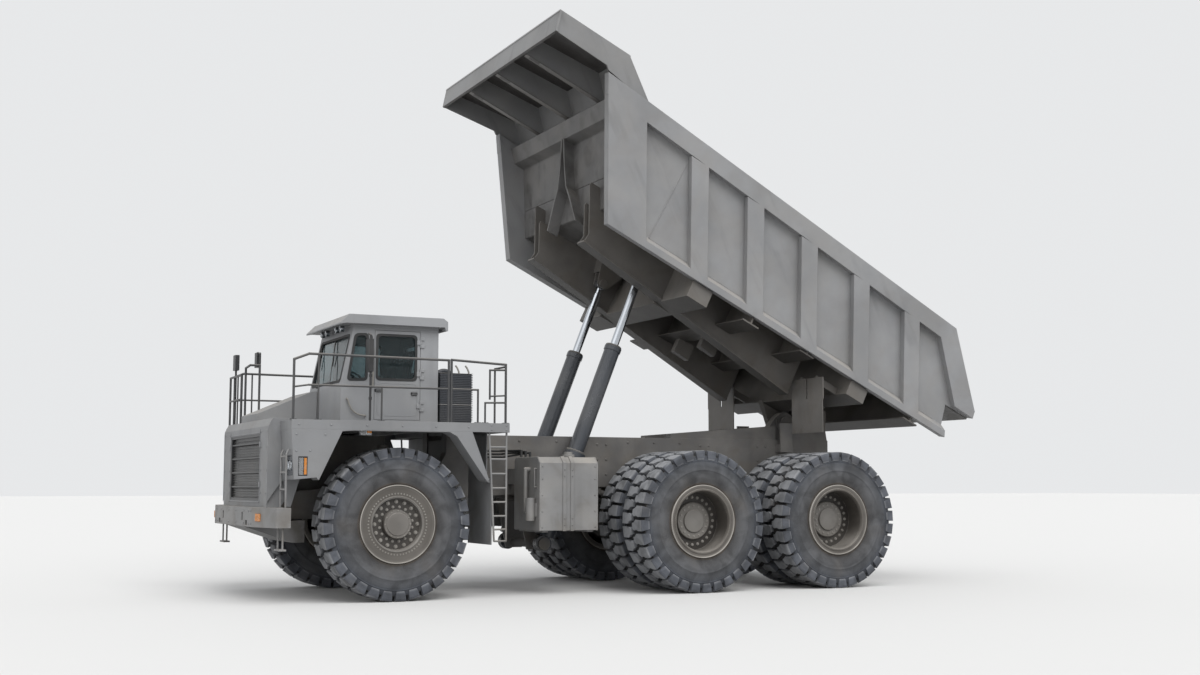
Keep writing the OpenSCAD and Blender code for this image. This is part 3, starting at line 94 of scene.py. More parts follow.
def hoist_at(sign, along):
    """A point on a raised hoist's axis, along from its foot."""
    c, s = math.cos(HOIST_LEAN), math.sin(HOIST_LEAN)
    return Vector((HOIST_FOOT.x - along * s, sign * HOIST_OUT, HOIST_FOOT.z + along * c))


def both_ways(sign, near, far):
    """The low and high Y of a span given for the left side, on the side that sign names."""
    return sorted((sign * near, sign * far))


# Camera, floor and light
CAMERA_LENS, CAMERA_FILM = 43.42, 36.0                                # mm
CAMERA_YAW, CAMERA_PITCH = math.radians(26.199), math.radians(5.822)  # off the truck's side, and up
CAMERA_PLACE = (8.142, 26.909, 2.036)                                 # m, from the front axle's line
FLOOR_HALF = 260                                                      # m


def make_camera():
    """The photograph's view, as solved from its edges."""
    data = bpy.data.cameras.new("view")
    data.lens, data.sensor_width = CAMERA_LENS, CAMERA_FILM
    data.clip_end = 500.0
    camera = bpy.data.objects.new("view", data)
    bpy.context.scene.collection.objects.link(camera)
    level = math.cos(CAMERA_PITCH)
    ahead = Vector((-math.sin(CAMERA_YAW) * level, -math.cos(CAMERA_YAW) * level, math.sin(CAMERA_PITCH)))
    camera.rotation_euler = ahead.to_track_quat("-Z", "Y").to_euler()
    camera.location = at(*CAMERA_PLACE)
    bpy.context.scene.camera = camera


def put(tree, kind, props=None, **wires):
    """Adds a node. Each wire is a socket's name, or i and its number, with a value or a socket to link."""
    node = tree.nodes.new(kind)
    for key, value in (props or {}).items():
        setattr(node, key, value)
    for key, value in wires.items():
        numbered = key[0] == "i" and key[1:].isdigit()
        socket = node.inputs[int(key[1:])] if numbered else node.inputs[key.replace("_", " ")]
        if isinstance(value, bpy.types.NodeSocket):
            tree.links.new(value, socket)
        else:
            socket.default_value = value
    return node


def plain(name):
    """A new material, its tree and its Principled shader."""
    material = bpy.data.materials.new(name)
    material.use_nodes = True
    tree = material.node_tree
    return material, tree, tree.nodes["Principled BSDF"]


def seen_or_shadowed(tree, shadowed, seen):
    """One colour for camera and mirror rays, another for the light that the truck receives."""
    paths = put(tree, "ShaderNodeLightPath")
    direct = put(tree, "ShaderNodeMath", {"operation": "MAXIMUM"}, i0=paths.outputs["Is Camera Ray"],
                 i1=paths.outputs["Is Glossy Ray"])
    return put(tree, "ShaderNodeMix", {"data_type": "RGBA"}, i0=direct.outputs[0], i6=(*shadowed, 1),
               i7=(*seen, 1)).outputs[2]


def make_stage():
    """A wide pale floor, the sky and two soft lamps."""
    material, tree, shader = plain("studio_floor")
    pale = seen_or_shadowed(tree, (0.34, 0.34, 0.34), (0.74, 0.735, 0.72))
    tree.links.new(pale, shader.inputs["Base Color"])
    shader.inputs["Roughness"].default_value = 0.9
    mesh = bpy.data.meshes.new("floor")
    corners = [(-FLOOR_HALF, -FLOOR_HALF, 0), (FLOOR_HALF, -FLOOR_HALF, 0), (FLOOR_HALF, FLOOR_HALF, 0),
               (-FLOOR_HALF, FLOOR_HALF, 0)]
    mesh.from_pydata(corners, [], [(0, 1, 2, 3)])
    mesh.materials.append(material)
    floor = bpy.data.objects.new("floor", mesh)
    bpy.context.scene.collection.objects.link(floor)

    world = bpy.data.worlds.new("studio")
    bpy.context.scene.world = world
    world.use_nodes = True
    tree = world.node_tree
    tree.links.new(seen_or_shadowed(tree, (0.62, 0.63, 0.65), (0.80, 0.81, 0.82)),
                   tree.nodes["Background"].inputs["Color"])

    for name, power, spread, turn in (("sky_key", 2.0, 50, (38, -14, 200)),
                                      ("side_fill", 0.55, 60, (62, 10, 110))):
        data = bpy.data.lights.new(name, "SUN")
        data.energy, data.angle = power, math.radians(spread)
        lamp = bpy.data.objects.new(name, data)
        lamp.rotation_euler = [math.radians(a) for a in turn]
        bpy.context.scene.collection.objects.link(lamp)
    bpy.context.scene.view_settings.view_transform = "Standard"


# Shader groups

def shader_group(name, inputs, outputs):
    """An empty shader group with its sockets: the tree, its input node and its output node."""
    tree = bpy.data.node_groups.new(name, "ShaderNodeTree")
    for label, kind, value in inputs:
        socket = tree.interface.new_socket(name=label, in_out="INPUT", socket_type="NodeSocket" + kind)
        socket.default_value = value
    for label, kind in outputs:
        tree.interface.new_socket(name=label, in_out="OUTPUT", socket_type="NodeSocket" + kind)
    return tree, tree.nodes.new("NodeGroupInput"), tree.nodes.new("NodeGroupOutput")


def ramp(tree, value, low, high, a=0.0, b=1.0):
    """value moved from low..high to a..b, with soft ends."""
    node = put(tree, "ShaderNodeMapRange", {"interpolation_type": "SMOOTHSTEP"}, Value=value)
    for key, number in (("From Min", low), ("From Max", high), ("To Min", a), ("To Max", b)):
        if isinstance(number, bpy.types.NodeSocket):
            tree.links.new(number, node.inputs[key])
        else:
            node.inputs[key].default_value = number
    return node.outputs[0]


def maths(tree, operation, a, b=0.0, clamp=False):
    """The result of a maths node; a and b are numbers or sockets."""
    return put(tree, "ShaderNodeMath", {"operation": operation, "use_clamp": clamp}, i0=a, i1=b).outputs[0]


def banded(tree, value, stops):
    """A colour picked along a value from (place, colour) stops."""
    node = put(tree, "ShaderNodeValToRGB", None, Fac=value)
    points = node.color_ramp.elements
    for i, (place, colour) in enumerate(stops):
        point = points[i] if i < 2 else points.new(place)
        point.position, point.color = place, (*colour, 1)
    return node.outputs[0]


def clouds(tree, place, scale, detail=5.0, warp=0.0):
    """Cloudy noise from 0 to 1."""
    return put(tree, "ShaderNodeTexNoise", None, Vector=place, Scale=scale, Detail=detail,
               Distortion=warp).outputs[0]


def make_dust_group():
    """Dust that lies on upward faces and clings thinly to the sides."""
    tree, given, out = shader_group("settled_dust", [("Amount", "Float", 0.6), ("Scale", "Float", 1.5),
                                    ("Sides", "Float", 0.3)], [("Mask", "Float")])
    coords = put(tree, "ShaderNodeTexCoord")
    up = put(tree, "ShaderNodeSeparateXYZ", None, Vector=coords.outputs["Normal"]).outputs["Z"]
    broad = clouds(tree, coords.outputs["Object"], given.outputs["Scale"], 6.0, 0.4)
    fine = clouds(tree, coords.outputs["Object"], 38.0, 3.0)
    lying = maths(tree, "MULTIPLY", ramp(tree, up, 0.15, 0.8), ramp(tree, broad, 0.30, 0.62, 0.45, 1.0))
    clinging = maths(tree, "MULTIPLY", ramp(tree, broad, 0.40, 0.70), given.outputs["Sides"])
    both = maths(tree, "ADD", lying, clinging)
    grainy = maths(tree, "MULTIPLY", both, ramp(tree, fine, 0.25, 0.6, 0.7, 1.0))
    tree.links.new(maths(tree, "MULTIPLY", grainy, given.outputs["Amount"], True), out.inputs["Mask"])
    return tree


def make_dirt_group():
    """Splashed dirt, thick near the ground and patchy above."""
    tree, given, out = shader_group("splashed_dirt", [("Amount", "Float", 0.6), ("Scale", "Float", 2.0),
                                    ("Fade Height", "Float", 3.0), ("Floor", "Float", 0.2)],
                                    [("Mask", "Float")])
    coords = put(tree, "ShaderNodeTexCoord")
    height = put(tree, "ShaderNodeSeparateXYZ", None, Vector=coords.outputs["Object"]).outputs["Z"]
    patch = ramp(tree, clouds(tree, coords.outputs["Object"], given.outputs["Scale"], 8.0, 0.8), 0.42, 0.72)
    low = ramp(tree, height, given.outputs["Fade Height"], 0.2)
    share = maths(tree, "ADD", low, given.outputs["Floor"])
    mask = maths(tree, "MULTIPLY", maths(tree, "MULTIPLY", patch, share), given.outputs["Amount"], True)
    tree.links.new(mask, out.inputs["Mask"])
    return tree


def make_streak_group():
    """Rain streaks that run down the plates, turned with the piece."""
    tree, given, out = shader_group("rain_streaks", [("Amount", "Float", 0.5), ("Scale", "Float", 5.0),
                                    ("Turn", "Vector", (0, 0, 0))], [("Mask", "Float")])
    coords = put(tree, "ShaderNodeTexCoord")
    turned = put(tree, "ShaderNodeMapping", None, Vector=coords.outputs["Object"],
                 Rotation=given.outputs["Turn"])
    thin = put(tree, "ShaderNodeMapping", None, Vector=turned.outputs[0], Scale=(1, 1, 0.07))
    lines = clouds(tree, thin.outputs[0], given.outputs["Scale"], 6.0)
    broken = clouds(tree, coords.outputs["Object"], 1.1, 3.0)
    mask = maths(tree, "MULTIPLY", ramp(tree, lines, 0.52, 0.72), ramp(tree, broken, 0.4, 0.6))
    tree.links.new(maths(tree, "MULTIPLY", mask, given.outputs["Amount"], True), out.inputs["Mask"])
    return tree


def make_edge_group():
    """Worn and softened edges: where a bevel's normal parts from the face's."""
    tree, given, out = shader_group("worn_edges", [("Radius", "Float", 0.012), ("Amount", "Float", 0.6)],
                                    [("Mask", "Float"), ("Normal", "Vector")])
    coords = put(tree, "ShaderNodeTexCoord")
    bevel = put(tree, "ShaderNodeBevel", {"samples": 4}, Radius=given.outputs["Radius"])
    face = put(tree, "ShaderNodeNewGeometry").outputs["Normal"]
    along = put(tree, "ShaderNodeVectorMath", {"operation": "DOT_PRODUCT"}, i0=bevel.outputs[0], i1=face)
    edge = ramp(tree, along.outputs["Value"], 0.985, 0.80)
    broken = ramp(tree, clouds(tree, coords.outputs["Object"], 7.0, 6.0), 0.42, 0.62)
    mask = maths(tree, "MULTIPLY", maths(tree, "MULTIPLY", edge, broken), given.outputs["Amount"], True)
    tree.links.new(mask, out.inputs["Mask"])
    tree.links.new(bevel.outputs[0], out.inputs["Normal"])
    return tree


def make_surface_group():
    """Height of rolled plate: slow dents under fine grain."""
    tree, given, out = shader_group("plate_surface", [("Dents", "Float", 0.6), ("Grain", "Float", 0.2),
                                    ("Grain Scale", "Float", 160.0)], [("Height", "Float")])
    coords = put(tree, "ShaderNodeTexCoord")
    slow = maths(tree, "MULTIPLY", clouds(tree, coords.outputs["Object"], 1.7, 2.0), given.outputs["Dents"])
    fine = maths(tree, "MULTIPLY", clouds(tree, coords.outputs["Object"], given.outputs["Grain Scale"], 3.0),
                 given.outputs["Grain"])
    tree.links.new(maths(tree, "ADD", slow, fine), out.inputs["Height"])
    return tree


RING_REACH = 0.8   # radius, m, at which the wheel_rings mask is 1


def make_rings_group():
    """Distance from a wheel's axis, as a share of RING_REACH."""
    tree, given, out = shader_group("wheel_rings", [("Centre", "Vector", (0, 0, 0))], [("Mask", "Float")])
    coords = put(tree, "ShaderNodeTexCoord")
    off = put(tree, "ShaderNodeVectorMath", {"operation": "SUBTRACT"}, i0=coords.outputs["Object"],
              i1=given.outputs["Centre"])
    flat = put(tree, "ShaderNodeVectorMath", {"operation": "MULTIPLY"}, i0=off.outputs[0], i1=(1, 0, 1))
    far = put(tree, "ShaderNodeVectorMath", {"operation": "LENGTH"}, i0=flat.outputs[0])
    share = maths(tree, "DIVIDE", far.outputs["Value"], RING_REACH, True)
    tree.links.new(share, out.inputs["Mask"])
    return tree


def make_painted_shade_group():
    """Painted shade on faces that look down: a patchy mask that darkens them as shadow would."""
    tree, given, out = shader_group("looks_down", [("Amount", "Float", 0.8)], [("Mask", "Float")])
    coords = put(tree, "ShaderNodeTexCoord")
    up = put(tree, "ShaderNodeSeparateXYZ", None, Vector=coords.outputs["Normal"]).outputs["Z"]
    patch = ramp(tree, clouds(tree, coords.outputs["Object"], 1.2, 6.0, 0.5), 0.25, 0.6, 0.75, 1.0)
    mask = maths(tree, "MULTIPLY", ramp(tree, up, -0.12, -0.55), patch)
    tree.links.new(maths(tree, "MULTIPLY", mask, given.outputs["Amount"], True), out.inputs["Mask"])
    return tree


def use(tree, group, **values):
    """Places a shader group with its own values."""
    node = tree.nodes.new("ShaderNodeGroup")
    node.node_tree = group
    for key, value in values.items():
        node.inputs[key.replace("_", " ")].default_value = value
    return node


def tinted(tree, mask, under, over):
    """Colour under, with colour over laid on it where the mask says."""
    under = under if isinstance(under, bpy.types.NodeSocket) else (*under, 1)
    over = over if isinstance(over, bpy.types.NodeSocket) else (*over, 1)
    return put(tree, "ShaderNodeMix", {"data_type": "RGBA"}, i0=mask, i6=under, i7=over).outputs[2]


# Finishes
DUST = (0.36, 0.335, 0.300)
MUD = (0.115, 0.100, 0.082)
BARE = (0.20, 0.19, 0.18)   # primer on chipped edges
STREAKED = 0.62             # a streak's share of its coat's brightness


def coated(name, colour, rough=0.55, dust=0.5, sides=0.3, dirt=0.4, fade=2.6, floor=0.15, streak=0.3,
           wear=0.5, dents=0.5, metal=0.0, turn=0.0, chip=BARE, dirt_colour=MUD, radius=0.012, grain=0.15,
           grain_scale=160.0, bump=0.02, rings=None, under=0.0, painted_shade_colour=(0.030, 0.028, 0.026)):
    """A weathered coat: colour, then streaks, dirt, chipped edges and dust over it, then painted shade where
    asked.

    dust lies on top and its share on upright faces is sides. dirt fades out upwards to the height fade,
    with the share floor above it. turn leans the streaks with the load body. rings is a wheel's centre
    along X and the (radius, colour) stops round its axis. under paints shade on faces that look down."""
    material, tree, shader = plain(name)
    coords = put(tree, "ShaderNodeTexCoord")
    tone = ramp(tree, clouds(tree, coords.outputs["Object"], 0.8, 5.0), 0.3, 0.7, 0.86, 1.10)
    body = colour
    if rings:
        far = use(tree, groups["rings"], Centre=(rings[0], 0, HUB_Z)).outputs[0]
        body = banded(tree, far, [(r / RING_REACH, c) for r, c in rings[1]])
    base = put(tree, "ShaderNodeVectorMath", {"operation": "SCALE"}, i0=body, Scale=tone).outputs[0]
    runs = use(tree, groups["streaks"], Amount=streak, Scale=4.0, Turn=(0, turn, 0)).outputs[0]
    muddy = use(tree, groups["dirt"], Amount=dirt, Scale=1.6, Fade_Height=fade, Floor=floor).outputs[0]
    edges = use(tree, groups["edges"], Radius=radius, Amount=wear)
    dusty = use(tree, groups["dust"], Amount=dust, Scale=1.3, Sides=sides).outputs[0]
    look = tinted(tree, runs, base, tuple(STREAKED * c for c in colour))
    look = tinted(tree, muddy, look, dirt_colour)
    look = tinted(tree, edges.outputs["Mask"], look, chip)
    look = tinted(tree, dusty, look, DUST)
    # Painted shade: faces that look down are darkened towards a near-black colour
    if under:
        down = use(tree, groups["under"], Amount=under).outputs[0]
        look = tinted(tree, down, look, painted_shade_colour)
    tree.links.new(look, shader.inputs["Base Color"])
    tree.links.new(ramp(tree, dusty, 0.0, 0.8, rough, 0.92), shader.inputs["Roughness"])
    shader.inputs["Metallic"].default_value = metal
    height = use(tree, groups["surface"], Dents=dents, Grain=grain, Grain_Scale=grain_scale).outputs[0]
    rise = put(tree, "ShaderNodeBump", None, Strength=0.5, Distance=bump, Height=height,
               Normal=edges.outputs["Normal"])
    tree.links.new(rise.outputs[0], shader.inputs["Normal"])
    return material


def make_tyre_rubber():
    """Tyre rubber by zone: black grooves, brown bead, grey side wall, pale scuffed tops of the lugs."""
    material, tree, shader = plain("tread_rubber")
    coords = put(tree, "ShaderNodeTexCoord")
    zone = put(tree, "ShaderNodeAttribute", {"attribute_name": "tread_zone"}).outputs["Fac"]
    broad = clouds(tree, coords.outputs["Object"], 3.0, 7.0, 0.6)
    fine = clouds(tree, coords.outputs["Object"], 60.0, 4.0)
    bands = banded(tree, zone, [(0.0, (0.016, 0.016, 0.017)), (0.10, (0.060, 0.051, 0.043)),
                                (0.20, (0.050, 0.048, 0.047)), (0.30, (0.092, 0.093, 0.097)),
                                (0.42, (0.068, 0.072, 0.080)), (0.55, (0.060, 0.065, 0.076)),
                                (0.66, (0.100, 0.107, 0.122)), (0.80, (0.088, 0.094, 0.108)),
                                (1.0, (0.255, 0.260, 0.270))])
    tone = ramp(tree, broad, 0.3, 0.7, 0.60, 1.25)
    look = put(tree, "ShaderNodeVectorMath", {"operation": "SCALE"}, i0=bands, Scale=tone).outputs[0]
    brown = ramp(tree, clouds(tree, coords.outputs["Object"], 1.4, 5.0), 0.52, 0.78, 0.0, 0.30)
    look = tinted(tree, brown, look, (0.145, 0.125, 0.102))
    tree.links.new(look, shader.inputs["Base Color"])
    tree.links.new(ramp(tree, fine, 0.3, 0.7, 0.72, 0.95), shader.inputs["Roughness"])
    height = maths(tree, "ADD", fine, maths(tree, "MULTIPLY", broad, 1.5))
    rise = put(tree, "ShaderNodeBump", None, Strength=0.45, Distance=0.004, Height=height)
    tree.links.new(rise.outputs[0], shader.inputs["Normal"])
    return material


def make_glass():
    """Dark tinted panes with a film of dust."""
    material, tree, shader = plain("tinted_pane")
    coords = put(tree, "ShaderNodeTexCoord")
    film = ramp(tree, clouds(tree, coords.outputs["Object"], 2.6, 6.0), 0.45, 0.75, 0.0, 0.35)
    look = tinted(tree, film, (0.25, 0.32, 0.335), (0.34, 0.36, 0.355))
    tree.links.new(look, shader.inputs["Base Color"])
    tree.links.new(ramp(tree, film, 0.0, 0.35, 0.03, 0.22), shader.inputs["Roughness"])
    shader.inputs["Transmission Weight"].default_value = 0.94
    shader.inputs["IOR"].default_value = 1.25
    return material


def make_lens(name, colour, clear):
    """Fluted lamp lens: fine upright ribs on a coloured body that lets the share clear of light through."""
    material, tree, shader = plain(name)
    coords = put(tree, "ShaderNodeTexCoord")
    flutes = put(tree, "ShaderNodeTexWave", {"bands_direction": "Y"}, Vector=coords.outputs["Object"],
                 Scale=28.0, Distortion=0.0)
    haze = ramp(tree, clouds(tree, coords.outputs["Object"], 14.0, 4.0), 0.4, 0.7, 0.0, 0.4)
    tree.links.new(tinted(tree, haze, colour, DUST), shader.inputs["Base Color"])
    tree.links.new(ramp(tree, haze, 0.0, 0.4, 0.12, 0.5), shader.inputs["Roughness"])
    shader.inputs["Transmission Weight"].default_value = clear
    rise = put(tree, "ShaderNodeBump", None, Strength=0.6, Distance=0.003, Height=flutes.outputs[0])
    tree.links.new(rise.outputs[0], shader.inputs["Normal"])
    return material


def make_cloth():
    """Seat cloth: a plain weave with a soft sheen."""
    material, tree, shader = plain("seat_weave")
    coords = put(tree, "ShaderNodeTexCoord")
    over = put(tree, "ShaderNodeTexWave", {"bands_direction": "Y"}, Vector=coords.outputs["Object"],
               Scale=160.0)
    under = put(tree, "ShaderNodeTexWave", {"bands_direction": "DIAGONAL"}, Vector=coords.outputs["Object"],
                Scale=140.0)
    weave = maths(tree, "MULTIPLY", over.outputs[1], under.outputs[1])
    look = tinted(tree, weave, (0.035, 0.036, 0.040), (0.085, 0.085, 0.090))
    worn = ramp(tree, clouds(tree, coords.outputs["Object"], 6.0, 5.0), 0.5, 0.8, 0.0, 0.4)
    tree.links.new(tinted(tree, worn, look, (0.14, 0.13, 0.12)), shader.inputs["Base Color"])
    shader.inputs["Roughness"].default_value = 0.9
    shader.inputs["Sheen Weight"].default_value = 0.3
    rise = put(tree, "ShaderNodeBump", None, Strength=0.4, Distance=0.001, Height=weave)
    tree.links.new(rise.outputs[0], shader.inputs["Normal"])
    return material


groups = {"dust": make_dust_group(), "dirt": make_dirt_group(), "streaks": make_streak_group(),
          "edges": make_edge_group(), "surface": make_surface_group(), "rings": make_rings_group(),
          "under": make_painted_shade_group()}

PAINT = (0.285, 0.290, 0.298)
COATS = {
    "cab_paint": dict(colour=PAINT, dust=0.45, sides=0.22, dirt=0.35, fade=3.2, floor=0.05, streak=0.25,
                      chip=(0.36, 0.36, 0.36), dents=0.25),
    "front_paint": dict(colour=(0.232, 0.235, 0.240), dust=0.45, sides=0.26, dirt=0.55, fade=3.4,
                        floor=0.10, streak=0.35, chip=(0.34, 0.34, 0.335), dents=0.35),
    "low_paint": dict(colour=(0.250, 0.248, 0.245), dust=0.65, sides=0.40, dirt=0.75, fade=3.4, floor=0.25,
                      streak=0.4, chip=(0.32, 0.31, 0.30)),
    # The pale chip colour on the body's edges is worn paint and a painted edge highlight
    "bed_paint": dict(colour=(0.292, 0.294, 0.298), dust=0.55, sides=0.35, dirt=0.30, fade=5.0, floor=0.35,
                      streak=0.45, turn=-BED_TILT, chip=(0.40, 0.39, 0.385),
                      dirt_colour=(0.20, 0.155, 0.115), radius=0.020, dents=0.9, bump=0.03),
    # The canopy's under mask and near-black colour are painted shade on its underside
    "canopy_paint": dict(colour=(0.262, 0.262, 0.262), dust=0.50, sides=0.30, dirt=0.35, fade=12.0,
                         floor=0.2, streak=0.5, turn=-BED_TILT, chip=(0.36, 0.35, 0.345), radius=0.020,
                         dirt_colour=(0.12, 0.105, 0.09), dents=0.8, bump=0.03, under=0.96,
                         painted_shade_colour=(0.036, 0.032, 0.029)),
    # Flanges: a base darker than the body's grey paint, as painted shade under the canopy
    "flange_paint": dict(colour=(0.150, 0.143, 0.134), dust=0.3, sides=0.4, dirt=0.4, fade=12.0, floor=0.4,
                         streak=0.2, chip=(0.24, 0.23, 0.22), dirt_colour=(0.06, 0.054, 0.048)),
    # Beams, bolsters and flaps under the body: the darker base and the under mask are painted shade; the
    # dirt and dust on them are real
    "under_bed": dict(colour=(0.140, 0.131, 0.120), under=0.85, dust=0.28, sides=0.45, dirt=0.9, fade=6.0,
                      floor=0.6, streak=0.3, turn=-BED_TILT, chip=(0.26, 0.25, 0.24), radius=0.016),
    # Front wall and floor of the raised body: the darker base is painted shade, and the near-black dirt over
    # most of it is partly real dirt, partly painted shade
    "head_board": dict(colour=(0.148, 0.145, 0.142), dust=0.38, sides=0.42, dirt=1.0, fade=12.0, floor=0.5,
                       streak=0.85, turn=-BED_TILT, chip=(0.30, 0.29, 0.28), radius=0.016,
                       dirt_colour=(0.050, 0.047, 0.043)),
    "chassis_paint": dict(colour=(0.118, 0.114, 0.110), rough=0.6, dust=0.6, sides=0.36, dirt=0.9, fade=3.4,
                          floor=0.45, streak=0.5, chip=(0.24, 0.23, 0.22)),
    "axle_paint": dict(colour=(0.085, 0.083, 0.080), rough=0.6, dust=0.55, sides=0.5, dirt=0.9, fade=3.0,
                       floor=0.5, streak=0.1, chip=(0.20, 0.19, 0.18)),
    "black_paint": dict(colour=(0.022, 0.023, 0.025), rough=0.42, dust=0.35, sides=0.15, dirt=0.2,
                        streak=0.1, chip=(0.10, 0.10, 0.10), radius=0.005, dents=0.1, bump=0.006),
    "cleaner_paint": dict(colour=(0.040, 0.045, 0.055), rough=0.45, dust=0.30, sides=0.30, dirt=0.2,
                          streak=0.1, chip=(0.13, 0.135, 0.145), radius=0.004, dents=0.1, bump=0.004),
    "rail_paint": dict(colour=(0.045, 0.046, 0.048), rough=0.45, dust=0.45, sides=0.25, dirt=0.1,
                       streak=0.0, chip=(0.17, 0.17, 0.17), radius=0.004, dents=0.05, bump=0.004),
    "hoist_paint": dict(colour=(0.044, 0.050, 0.060), rough=0.26, dust=0.42, sides=0.20, dirt=0.45,
                        fade=4.0, floor=0.15, streak=0.5, chip=(0.16, 0.16, 0.17), radius=0.006, dents=0.1),
    "bolt_steel": dict(colour=(0.30, 0.285, 0.26), rough=0.45, dust=0.4, sides=0.35, dirt=0.5, streak=0.0,
                       metal=0.4, radius=0.003, dents=0.0, grain=0.3, bump=0.003),
    "chrome": dict(colour=(0.50, 0.525, 0.56), rough=0.13, dust=0.15, sides=0.12, dirt=0.0, streak=0.15,
                   metal=1.0, wear=0.0, dents=0.0, grain=0.02, bump=0.002),
    "cab_plastic": dict(colour=(0.040, 0.041, 0.043), rough=0.6, dust=0.3, sides=0.1, dirt=0.0, streak=0.0,
                        wear=0.2, radius=0.004, dents=0.0, grain=0.5, grain_scale=420.0, bump=0.002),
    "seal_rubber": dict(colour=(0.020, 0.021, 0.022), rough=0.7, dust=0.35, sides=0.2, dirt=0.0, streak=0.0,
                        wear=0.2, radius=0.003, dents=0.0, grain=0.4, grain_scale=300.0, bump=0.002),
}
finish = {name: coated(name, **values) for name, values in COATS.items()}
finish["tread_rubber"] = make_tyre_rubber()
finish["pane"] = make_glass()
finish["amber_lens"] = make_lens("amber_lens", (0.85, 0.30, 0.04), 0.25)
finish["clear_lens"] = make_lens("clear_lens", (0.82, 0.84, 0.85), 0.75)
finish["seat_weave"] = make_cloth()

# Colours of the wheels' discs from the hub out: radius, colour. The near-black bands are painted shadow in
# the discs' recess.
FRONT_RINGS = [(0.0, (0.17, 0.16, 0.145)), (0.235, (0.20, 0.185, 0.168)), (0.262, (0.034, 0.029, 0.025)),
               (0.435, (0.042, 0.036, 0.030)), (0.462, (0.27, 0.255, 0.235)), (0.500, (0.13, 0.118, 0.103)),
               (0.630, (0.10, 0.090, 0.078)), (0.668, (0.15, 0.138, 0.122)), (0.684, (0.46, 0.43, 0.39))]
REAR_RINGS = [(0.0, (0.20, 0.19, 0.175)), (0.335, (0.17, 0.158, 0.142)), (0.365, (0.036, 0.031, 0.027)),
              (0.548, (0.030, 0.026, 0.022)), (0.575, (0.125, 0.112, 0.097)), (0.628, (0.090, 0.080, 0.069)),
              (0.660, (0.14, 0.128, 0.113)), (0.684, (0.46, 0.43, 0.39))]
RIM_COAT = dict(colour=(0.14, 0.13, 0.115), rough=0.5, dust=0.42, sides=0.18, dirt=0.45, fade=2.8,
                floor=0.25, streak=0.0, chip=(0.42, 0.40, 0.36), radius=0.010, wear=0.8, dents=0.1,
                dirt_colour=(0.050, 0.043, 0.036), bump=0.008)
for place, wheel, stops in (("front", "wheel_front", FRONT_RINGS), ("mid", "wheels_mid", REAR_RINGS),
                            ("rear", "wheels_rear", REAR_RINGS)):
    centre = joints[wheel + "_left_spin"]["pos_m"][0]
    finish["rim_" + place] = coated("rim_" + place, rings=(centre, stops), **RIM_COAT)

NODE_FINISH = {
    "cab_paint": ["cab_shell", "cab_roof", "door_left"],
    "front_paint": ["hood", "deck", "fender_left", "fender_right"],
    "low_paint": ["bumper", "fuel_tank", "hydraulic_tank", "ladders"],
    "bed_paint": ["bed_side_left", "bed_side_right"],
    "canopy_paint": ["bed_canopy"],
    "head_board": ["bed_front_wall", "bed_floor"],
    "under_bed": ["bed_beams", "bed_bolsters", "bed_flaps"],
    "chassis_paint": ["frame", "front_struts", "rear_struts"],
    "axle_paint": ["engine", "rear_axles", "driveshafts", "knuckle_left", "knuckle_right", "tie_rod"],
    "black_paint": ["grille", "air_cleaner", "mirrors"],
    "rail_paint": ["handrail_left", "handrail_right"],
    "hoist_paint": ["hoist_barrel_left", "hoist_barrel_right", "hoist_tube_left", "hoist_tube_right"],
    "chrome": ["hoist_rod_left", "hoist_rod_right"],
    "rim_front": ["rim_front_left", "rim_front_right"],
    "rim_mid": ["rim_mid_left", "rim_mid_right"],
    "rim_rear": ["rim_rear_left", "rim_rear_right"],
    "pane": ["cab_glass", "door_glass"],
    "cab_plastic": ["cab_interior"],
    "seal_rubber": ["hoses"],
}


def finish_nodes():
    """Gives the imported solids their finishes."""
    for name, members in NODE_FINISH.items():
        for member in members:
            slots = nodes[member].data.materials
            slots.clear()
            slots.append(finish[name])


# Mesh helpers

def piece(name, mesh, look, body):
    """A finished mesh as a named piece that rides on a body."""
    if not mesh.materials:
        mesh.materials.append(finish[look])
    thing = bpy.data.objects.new(name, mesh)
    bpy.context.scene.collection.objects.link(thing)
    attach(thing, body)
    return thing


BEVEL_FROM = 0.5   # radians: flatter edges are left as they are


def to_mesh(name, build, smooth=None, bevel=0.0, segments=2):
    """A closed mesh from a bmesh, edges bevelled if asked, smooth up to an angle in degrees."""
    if bevel:
        sharp = [e for e in build.edges if len(e.link_faces) == 2 and e.calc_face_angle() > BEVEL_FROM]
        bmesh.ops.bevel(build, geom=sharp, offset=bevel, segments=segments, profile=0.5, affect="EDGES",
                        clamp_overlap=True)
    bmesh.ops.recalc_face_normals(build, faces=build.faces)
    mesh = bpy.data.meshes.new(name)
    build.to_mesh(mesh)
    build.free()
    if smooth is not None:
        mesh.shade_smooth()
        mesh.set_sharp_from_angle(angle=math.radians(smooth))
    return mesh


def built(name, build, look, body, slot, *shape):
    """A bmesh as a named piece. shape is to_mesh's smooth angle, bevel and segments."""
    return piece(name, to_mesh(name, build, *shape), look, body)


def joined(name, meshes):
    """One mesh from several, each used as it is."""
    build = bmesh.new()
    for mesh in meshes:
        build.from_mesh(mesh)
    result = bpy.data.meshes.new(name)
    build.to_mesh(result)
    build.free()
    for material in meshes[0].materials:
        result.materials.append(material)
    return result


def moved(mesh, matrix):
    """A copy of a mesh put through a matrix, its faces still outwards."""
    copy = mesh.copy()
    copy.transform(matrix)
    if matrix.determinant() < 0:
        copy.flip_normals()
    return copy


def add_prism(build, outline, lift):
    """A prism from a flat outline of points and the vector it is drawn along."""
    low = [build.verts.new(p) for p in outline]
    high = [build.verts.new(Vector(p) + lift) for p in outline]
    build.faces.new(low)
    build.faces.new(list(reversed(high)))
    for i in range(len(low)):
        j = (i + 1) % len(low)
        build.faces.new((low[j], low[i], high[i], high[j]))


